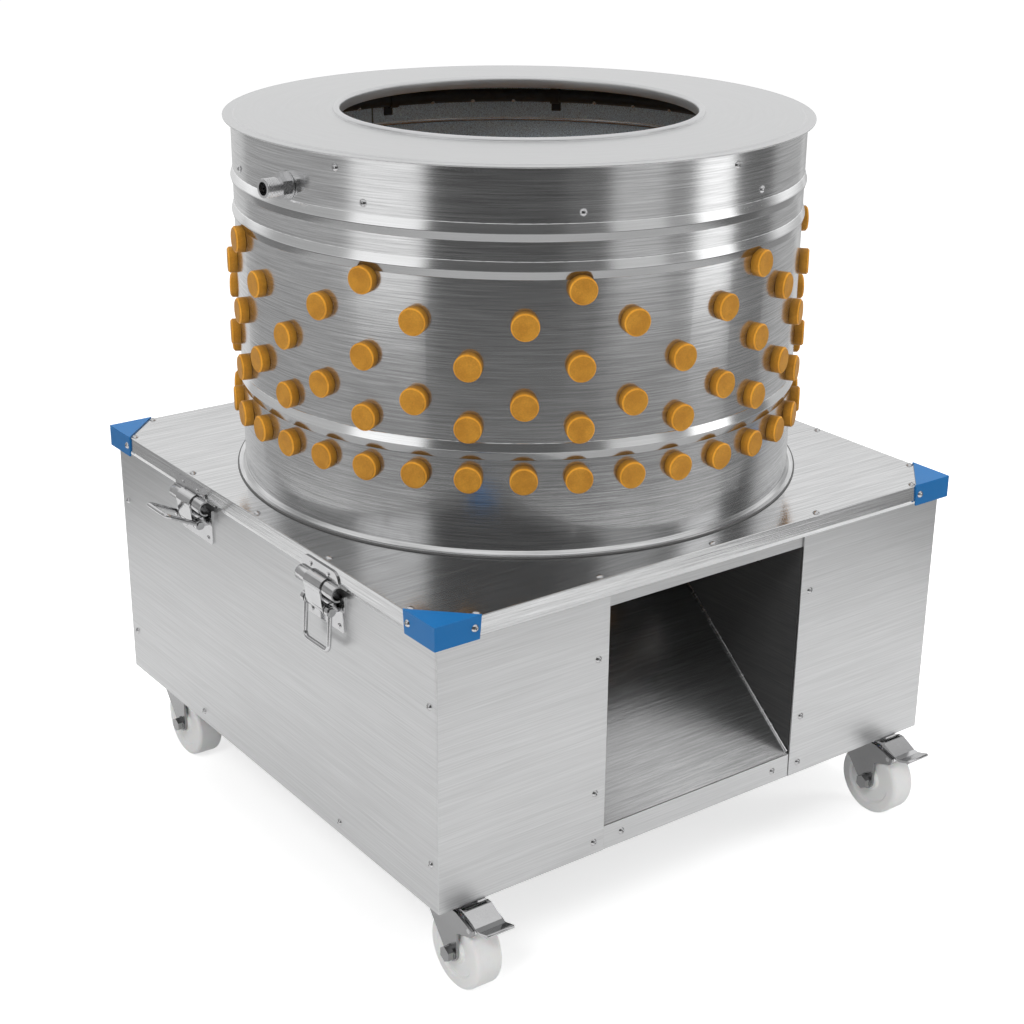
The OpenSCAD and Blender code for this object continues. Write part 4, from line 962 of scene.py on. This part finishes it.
@dataclass
class Deck(Group):
    """The hinged deck with its caps and screws."""

    top: float = DECK_TOP
    edge_screw: float = 301.5
    pitch: float = 131.0
    cap_face: float = 308.5
    cap_screw: float = 268.0
    cap_screw_z: float = 360.5
    coats = {
        "deck": ["deck"], "tube": ["deck_frame"], "cap": ["corner_caps"],
        "bright": ["deck_screws", "hinge_upper", "hinge_lower"],
    }
    rounded = {0.6: ["deck"], 1.2: ["corner_caps"]}

    def screws(self) -> list[Place]:
        """Lists the deck's screws.

        Returns:
            Each screw's foot and the way in which it looks.
        """
        places = []
        for side in (-1, 1):
            for step in range(-2, 3):
                places.append((mm(step * self.pitch, side * self.edge_screw, self.top), UP))
                places.append((mm(side * self.edge_screw, step * self.pitch, self.top), UP))
            for end in (-1, 1):
                face, along, z = self.cap_face, self.cap_screw, self.cap_screw_z
                places.append((mm(side * face, end * along, z), Vector((side, 0, 0))))
                places.append((mm(side * along, end * face, z), Vector((0, end, 0))))
        return places

    def dress(self) -> None:
        """Dresses the deck and adds the dark crosses that paint the shade in its screws' recesses."""
        super().dress()
        self.recesses("deck_screw_recesses", ScrewRecess(), self.screws(), "drum", 5)


@dataclass
class Drum(Group):
    """The drum with its lid, fingers, hose and inlet."""

    radius: float = DRUM_RADIUS
    deck_top: float = DECK_TOP
    height: float = 347.5
    flange: float = 282.0
    screw_z: float = 679.0
    lid_screw_z: float = 706.0
    first_clip: float = -115.0
    clips: int = 9
    lid_screws: tuple[float, ...] = (-161.0, -83.0, 19.0, 97.0)
    bead_shares: tuple[float, ...] = (0.282, 0.7468, 0.8403)
    bead_half: float = 8.0
    bead_rise: float = 2.30
    bead_root: float = 0.4
    bead_steps: int = 200
    hose_r: float = 262.0
    hose_tube_r: float = 7.0
    hose_z: float = 690.0
    nozzles: int = 36
    inlet_azimuth: float = -174.0
    inlet_z: float = 682.0
    thread_start: float = 286.5
    thread_pitch: float = 1.6
    thread_turns: int = 8
    thread_r: float = 8.2
    thread_rise: float = 0.55
    sealant_width: float = 1.1
    sealant_steps: int = 160
    coats = {
        "drum": ["drum_shell"], "lid": ["drum_lid"], "finger": ["drum_fingers"], "belt": ["spray_hose"],
        "iron": ["hose_clips"], "bright": ["drum_screws"], "turned": ["water_nipple"],
    }
    rounded = {0.5: ["drum_lid"]}

    def screws(self) -> list[Place]:
        """Lists the drum's screws: one for each clip of the hose, and those of the lid.

        Returns:
            Each screw's foot and the way in which it looks.
        """
        rows = [(self.first_clip + clip * 360 / self.clips, self.screw_z) for clip in range(self.clips)]
        rows += [(azimuth, self.lid_screw_z) for azimuth in self.lid_screws]
        return [(around(self.radius, azimuth, z), outward(azimuth)) for azimuth, z in rows]

    def beads(self) -> Mesh:
        """Makes the broad rolled beads around the shell, each a low roof with a rounded ridge.

        Returns:
            The mesh of all the beads.
        """
        half, rise, root = self.bead_half, self.bead_rise, self.radius - self.bead_root
        slope = [(half, -0.05), (half - 0.4, 0.12), (half - 0.8, 0.25), (half * 0.5, rise * 0.52),
                 (1.2, rise - 0.28), (0.5, rise - 0.08)]
        rings = []
        for share in self.bead_shares:
            middle = self.deck_top + share * self.height
            profile = [(root, middle - half)]
            profile += [(self.radius + lift, middle - away) for away, lift in slope]
            profile += [(self.radius + rise, middle)]
            profile += [(self.radius + lift, middle + away) for away, lift in reversed(slope)]
            profile += [(root, middle + half)]
            rings.append(turned(profile, self.bead_steps, closed=True))
        return mesh_of("drum_beads", rings)

    def nozzle_places(self) -> list[Place]:
        """Lists the spray nozzles on the hose.

        Returns:
            Each nozzle's foot, and its way inwards and down.
        """
        reach = self.hose_tube_r * math.sqrt(0.5)
        places = []
        for nozzle in range(self.nozzles):
            azimuth = (nozzle + 0.5) * 360 / self.nozzles
            place = around(self.hose_r - reach, azimuth, self.hose_z - reach)
            places.append((place, (-outward(azimuth) - UP).normalized()))
        return places

    def nozzle(self) -> Mesh:
        """Makes a short hollow nozzle."""
        return mesh_of("nozzle", [turned([(2.2, -0.5), (2.2, 0.9), (1.8, 1.2), (0.8, 1.2), (0.7, 0.2)], 10)])

    def thread_places(self) -> list[Place]:
        """Gives the place of each turn of the inlet's thread."""
        radii = [self.thread_start + turn * self.thread_pitch for turn in range(self.thread_turns)]
        way = outward(self.inlet_azimuth)
        return [(around(radius, self.inlet_azimuth, self.inlet_z), way) for radius in radii]

    def thread_turn(self) -> Mesh:
        """Makes one ridge of the thread.

        Returns:
            Its mesh, which stands on the origin.
        """
        root, foot, crest = self.thread_r - 0.3, self.thread_r, self.thread_r + self.thread_rise
        profile = [(root, 0.0), (foot, 0.0), (crest, 0.6), (crest, 0.8), (foot, 1.4), (root, 1.4)]
        return mesh_of("thread_turn", [turned(profile, 24, closed=True)])

    def sealant(self) -> Mesh:
        """Makes the bead of sealant around the drum's foot.

        Returns:
            Its mesh.
        """
        profile = []
        for step in range(8):
            angle = math.radians(45 * step - 90)
            out, up = self.sealant_width * math.cos(angle), math.sin(angle)
            profile.append((self.flange + 0.4 + out, self.deck_top + 0.5 + up))
        return mesh_of("foot_sealant", [turned(profile, self.sealant_steps, closed=True)])

    def dress(self) -> None:
        """Dresses the drum and adds its small pieces."""
        super().dress()
        self.recesses("drum_screw_recesses", ScrewRecess(), self.screws(), "drum", 7)
        self.add("foot_sealant", self.sealant(), "drum", "sheet_steel", "sealant")
        self.add("drum_beads", self.beads(), "drum", "sheet_steel", "bead")
        self.strew("spray_nozzles", self.nozzle(), self.nozzle_places(), "drum", "zinc_steel", "turned")
        self.strew("inlet_thread", self.thread_turn(), self.thread_places(), "drum", "zinc_steel", "turned")


@dataclass
class Drive(Group):
    """The disc, shaft, bearings, belt and motor."""

    bearing_bolt: float = 32.0
    lower_bearing_z: float = 155.0
    upper_bearing_z: float = 290.0
    motor_y: float = 168.0
    motor_bolt: float = 49.0
    mount_z: float = 128.0
    coats = {
        "deck": ["feather_disc"], "finger": ["disc_fingers"], "turned": ["main_shaft"],
        "iron": ["driven_pulley", "motor_pulley"], "housing": ["shaft_bearings"],
        "motor": ["motor_body", "motor_cowl", "motor_terminal_box"], "belt": ["v_belt"],
    }

    def bolts(self) -> list[Place]:
        """Lists the bolts of the bearings and the motor.

        Returns:
            Each bolt's foot and the way in which it looks.
        """
        places = []
        for side, end in CORNERS:
            x, y = side * self.bearing_bolt, end * self.bearing_bolt
            places.append((mm(x, y, self.lower_bearing_z), UP))
            places.append((mm(x, y, self.upper_bearing_z), DOWN))
            x, y = side * self.motor_bolt, self.motor_y + end * self.motor_bolt
            places.append((mm(x, y, self.mount_z), UP))
        return places

    def dress(self) -> None:
        """Dresses the drive and adds its bolts."""
        super().dress()
        self.bolt_on("drive_bolts", HexBolt(), self.bolts(), 2)


@dataclass
class Latches(Group):
    """The toggle latches on the left side."""

    sheets = ["latch_bases", "latch_keepers", "latch_claw_front", "latch_claw_rear"]
    coats = {"bright": [*sheets, "latch_lever_front", "latch_lever_rear"]}
    rounded = {0.25: sheets}


@dataclass
class Casters(Group):
    """The four casters with their brakes."""

    axis: float = 264.0
    trail: float = 26.0
    wheel_r: float = 37.5
    tread_from: float = 36.2
    plate_z: float = 92.0
    bolt_at: float = 26.0
    bolt: HexBolt = HexBolt(13.0, 2.4, 8.0, 1.0)
    nylon: Colour = (0.96, 0.96, 0.95)
    keys = ["front_left", "front_right", "rear_left", "rear_right"]
    forks = ["fork_" + key for key in keys]
    axles = ["axle_" + key for key in keys]
    pedals = ["brake_pedal_left", "brake_pedal_right"]
    coats = {"zinc": [*forks, *axles, "caster_plates"], "bright": pedals}
    rounded = {0.3: [*forks, *pedals, "caster_plates"]}

    def bolts(self) -> list[Place]:
        """Gives the foot of each bolt of the casters' plates, and its way down."""
        axis, out = self.axis, self.bolt_at
        return [(mm(side * axis + u * out, end * axis + v * out, self.plate_z), DOWN)
                for side, end in CORNERS for u, v in CORNERS]

    def dress(self) -> None:
        """Dresses the casters, gives each wheel its own nylon and adds the bolts of the plates."""
        super().dress()
        for key, (end, side) in zip(self.keys, CORNERS):
            centre = tuple(mm(side * self.axis, end * self.axis - self.trail, self.wheel_r))
            nylon = Nylon("nylon_" + key, self.nylon, 0.36, centre=centre, tread_from=self.tread_from * MM)
            self.paint(nylon.material(), "wheel_" + key)
        self.bolt_on("plate_bolts", self.bolt, self.bolts(), 4)


@dataclass
class Electrics(Group):
    """The switch box with its buttons, and the cable gland."""

    box_x: float = 170.0
    box_z: float = 260.0
    box_face: float = 340.0
    screw_x: float = 42.0
    screw_z: float = 29.0
    head: float = 6.0
    head_height: float = 1.5
    recess_reach: float = 1.7
    recess_proud: float = 0.35
    coats = {"plastic": ["switch_box", "cable_gland"], "green": ["start_button"], "red": ["stop_button"]}
    rounded = {1.0: ["switch_box"]}

    def screws(self) -> list[Place]:
        """Gives each cover screw's foot, and its way back."""
        return [(mm(self.box_x + u * self.screw_x, self.box_face, self.box_z + v * self.screw_z), BACK)
                for u, v in CORNERS]

    def screw_head(self) -> Mesh:
        """Makes a low round head.

        Returns:
            Its mesh, which stands on the origin.
        """
        radius, height = self.head / 2, self.head_height
        profile = [(radius, -0.3), (radius, 0.3), (radius * 0.85, height * 0.7), (radius * 0.5, height)]
        return mesh_of("cover_screw", [turned(profile, 16)])

    def dress(self) -> None:
        """Dresses the electrics and screws the cover on."""
        super().dress()
        self.strew("cover_screws", self.screw_head(), self.screws(), "cabinet", "fastener_steel", "zinc")
        recess = ScrewRecess(self.head, self.head_height, self.recess_reach, proud=self.recess_proud)
        self.recesses("cover_screw_recesses", recess, self.screws(), "cabinet", 9)


@dataclass(frozen=True)
class SoftBox:
    """A light panel on the studio's round wall: its azimuth and half width in degrees, and its light."""

    azimuth: float
    half_width: float
    light: float
    low_light: float


@dataclass(frozen=True)
class Lamp:
    """A round soft lamp: its name, its power in watts, and its width and place in metres."""

    name: str
    power: float
    width: float
    place: tuple[float, float, float]


@dataclass
class Studio:
    """The floor, the studio around it, the lamps and the camera. Its lengths are in metres."""

    camera_at: tuple[float, float, float] = (-1.0696, -1.4499, 1.0200)
    yaw: float = 36.30
    pitch: float = 21.72
    roll: float = 0.48
    lens: float = 65.41
    looked_at_z: float = 0.35
    level: float = 0.45
    floor_reach: float = 30.0
    floor_grey: float = 0.80
    floor_white: float = 0.66
    floor_mirrored: float = 0.28
    wall_radius: float = 1.12
    wall_foot: float = 0.002
    wall_height: float = 3.0
    wall_steps: int = 96
    dark: float = 0.09
    low_dark: float = 0.19
    high_light: float = 0.90
    softness: float = 3.0
    low_end: tuple[float, float] = (0.24, 0.46)
    upper_start: tuple[float, float] = (0.55, 0.70)
    upper_dimming: float = 0.2
    back_way: tuple[float, float] = (0.59, 0.81)
    back_start: tuple[float, float] = (0.1, 0.5)
    top_start: tuple[float, float] = (1.05, 1.30)
    boxes: tuple[SoftBox, ...] = (
        SoftBox(60, 52, 0.70, 0.78),
        SoftBox(30, 14, 0.50, 0.70),
        SoftBox(142, 32, 0.46, 0.42),
        SoftBox(-172, 14, 1.15, 0.33),
        SoftBox(-103, 7, 0.16, 0.23),
        SoftBox(-84, 11, 0.66, 0.32),
        SoftBox(-68, 6, 0.36, 0.40),
        SoftBox(-53, 9, 1.60, 0.48),
        SoftBox(-32, 12, 0.17, 0.27),
        SoftBox(-6, 14, 0.50, 0.52),
    )
    lamps: tuple[Lamp, ...] = (
        Lamp("key", 30.0, 1.1, (-2.3, -1.5, 2.7)),
        Lamp("overhead", 36.0, 1.6, (0.2, 0.2, 2.95)),
        Lamp("fill", 14.0, 0.9, (2.4, -1.3, 1.2)),
    )

    def camera(self) -> None:
        """Sets the camera up where the photograph was taken."""
        yaw, pitch, roll = (math.radians(angle) for angle in (self.yaw, self.pitch, self.roll))
        ahead = Vector((math.sin(yaw) * math.cos(pitch), math.cos(yaw) * math.cos(pitch), -math.sin(pitch)))
        right = ahead.cross(UP).normalized()
        up = right.cross(ahead)
        turned_right = right * math.cos(roll) + up * math.sin(roll)
        turned_up = up * math.cos(roll) - right * math.sin(roll)
        data = bpy.data.cameras.new("photo_camera")
        data.lens = self.lens
        camera = show("photo_camera", data)
        axes = Matrix((turned_right, turned_up, -ahead)).transposed().to_4x4()
        camera.matrix_world = Matrix.Translation(self.camera_at) @ axes
        bpy.context.scene.camera = camera

    def floor(self) -> None:
        """Lays the pale floor, which shows white but keeps the shadow."""
        corners = [(u * self.floor_reach, v * self.floor_reach, 0) for u, v in CORNERS]
        mesh = mesh_of("floor", [(corners, [(0, 2, 3, 1)])], smooth=False)
        material, graph = new_material("pale_floor")
        mirrored = graph.rays("Glossy", "Transmission") * self.floor_mirrored
        strength = graph.rays("Camera") * self.floor_white + mirrored
        grey = rgba((self.floor_grey, self.floor_grey, self.floor_grey))
        diffuse = graph.node("ShaderNodeBsdfDiffuse", {}, {"Color": grey}).outputs[0]
        glow = graph.glow((1.0, 1.0, 1.0), strength)
        graph.end(graph.node("ShaderNodeAddShader", {}, {0: diffuse, 1: glow}).outputs[0])
        mesh.materials.append(material)
        piece = show("floor", mesh)

    def box_light(self, graph: Graph) -> Socket:
        """Lays the soft boxes around the wall.

        Args:
            graph: the wall's graph.

        Returns:
            The light of every place on the wall, as a colour.
        """
        x, y, z = graph.split(graph.place())
        high, low = 0 * z + self.dark, 0 * z + self.low_dark
        for box in self.boxes:
            middle = outward(box.azimuth)
            inner = math.cos(math.radians(box.half_width - self.softness)) * self.wall_radius
            outer = math.cos(math.radians(box.half_width + self.softness)) * self.wall_radius
            inside = (x * middle.x + y * middle.y).rise(outer, inner)
            high = high * (1 - inside) + inside * box.light
            low = low * (1 - inside) + inside * box.low_light
        raised = z.rise(*self.low_end)
        upper = z.rise(*self.upper_start)
        back = (x * self.back_way[0] + y * self.back_way[1]).rise(*self.back_start) * upper
        top = z.rise(*self.top_start)
        light = (low * (1 - raised) + high * raised) * (1 - upper * self.upper_dimming)
        light = light * (1 - back) + back
        return graph.grey(light * (1 - top) + top * self.high_light)

    def wall(self) -> None:
        """Stands the soft boxes and dark gaps that only the metal shows around the machine."""
        directions = [outward(360 * step / self.wall_steps) for step in range(self.wall_steps)]
        rings = [[direction * self.wall_radius + Vector((0, 0, height)) for direction in directions]
                 for height in (self.wall_height, self.wall_foot)]
        mesh = mesh_of("studio_wall", [loft(rings, capped=False)])
        material, graph = new_material("soft_boxes")
        glow = graph.glow(self.box_light(graph), 1.0)
        clear = graph.node("ShaderNodeBsdfTransparent").outputs[0]
        both = graph.node("ShaderNodeMixShader", {}, {0: graph.rays("Glossy"), 1: clear, 2: glow})
        graph.end(both.outputs[0])
        mesh.materials.append(material)
        piece = show("studio_wall", mesh)

    def hang(self, lamp: Lamp) -> None:
        """Hangs a lamp that looks at the machine and that polished metal doesn't show.

        Args:
            lamp: the lamp.
        """
        data = bpy.data.lights.new(lamp.name, "AREA")
        data.energy = lamp.power
        data.shape = "DISK"
        data.size = lamp.width
        made = show(lamp.name, data)
        made.location = lamp.place
        made.visible_glossy = False
        aim = Vector((0, 0, self.looked_at_z)) - made.location
        made.rotation_euler = aim.to_track_quat("-Z", "Y").to_euler()

    def light(self) -> None:
        """Lights the studio with a white surround, which shines less than it shows, and the soft lamps."""
        world = bpy.data.worlds.new("studio")
        world.use_nodes = True
        bpy.context.scene.world = world
        graph = Graph(world.node_tree)
        seen = graph.rays("Camera", "Glossy", "Transmission").above(0.5)
        strength = seen * (1 - self.level) + self.level
        sky = graph.node("ShaderNodeBackground", {}, {"Color": rgba((1.0, 1.0, 1.0)), "Strength": strength})
        graph.node("ShaderNodeOutputWorld", {}, {"Surface": sky.outputs[0]})
        for lamp in self.lamps:
            self.hang(lamp)

    def build(self) -> None:
        """Sets the whole studio up."""
        self.camera()
        self.floor()
        self.wall()
        self.light()
        bpy.context.scene.view_settings.view_transform = "Standard"


def main() -> None:
    """Builds the scene in order."""
    logging.basicConfig(level=logging.INFO, format="%(name)s: %(message)s")
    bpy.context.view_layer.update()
    Studio().build()
    LOG.info("studio ready")
    finishes = {key: finish.material() for key, finish in FINISHES.items()}
    scatter = Scatter()
    for group in (Cabinet, Deck, Drum, Drive, Latches, Casters, Electrics):
        group(finishes, scatter).dress()
        LOG.info("%s dressed", group.__name__.lower())


if __name__ == "__main__":
    main()
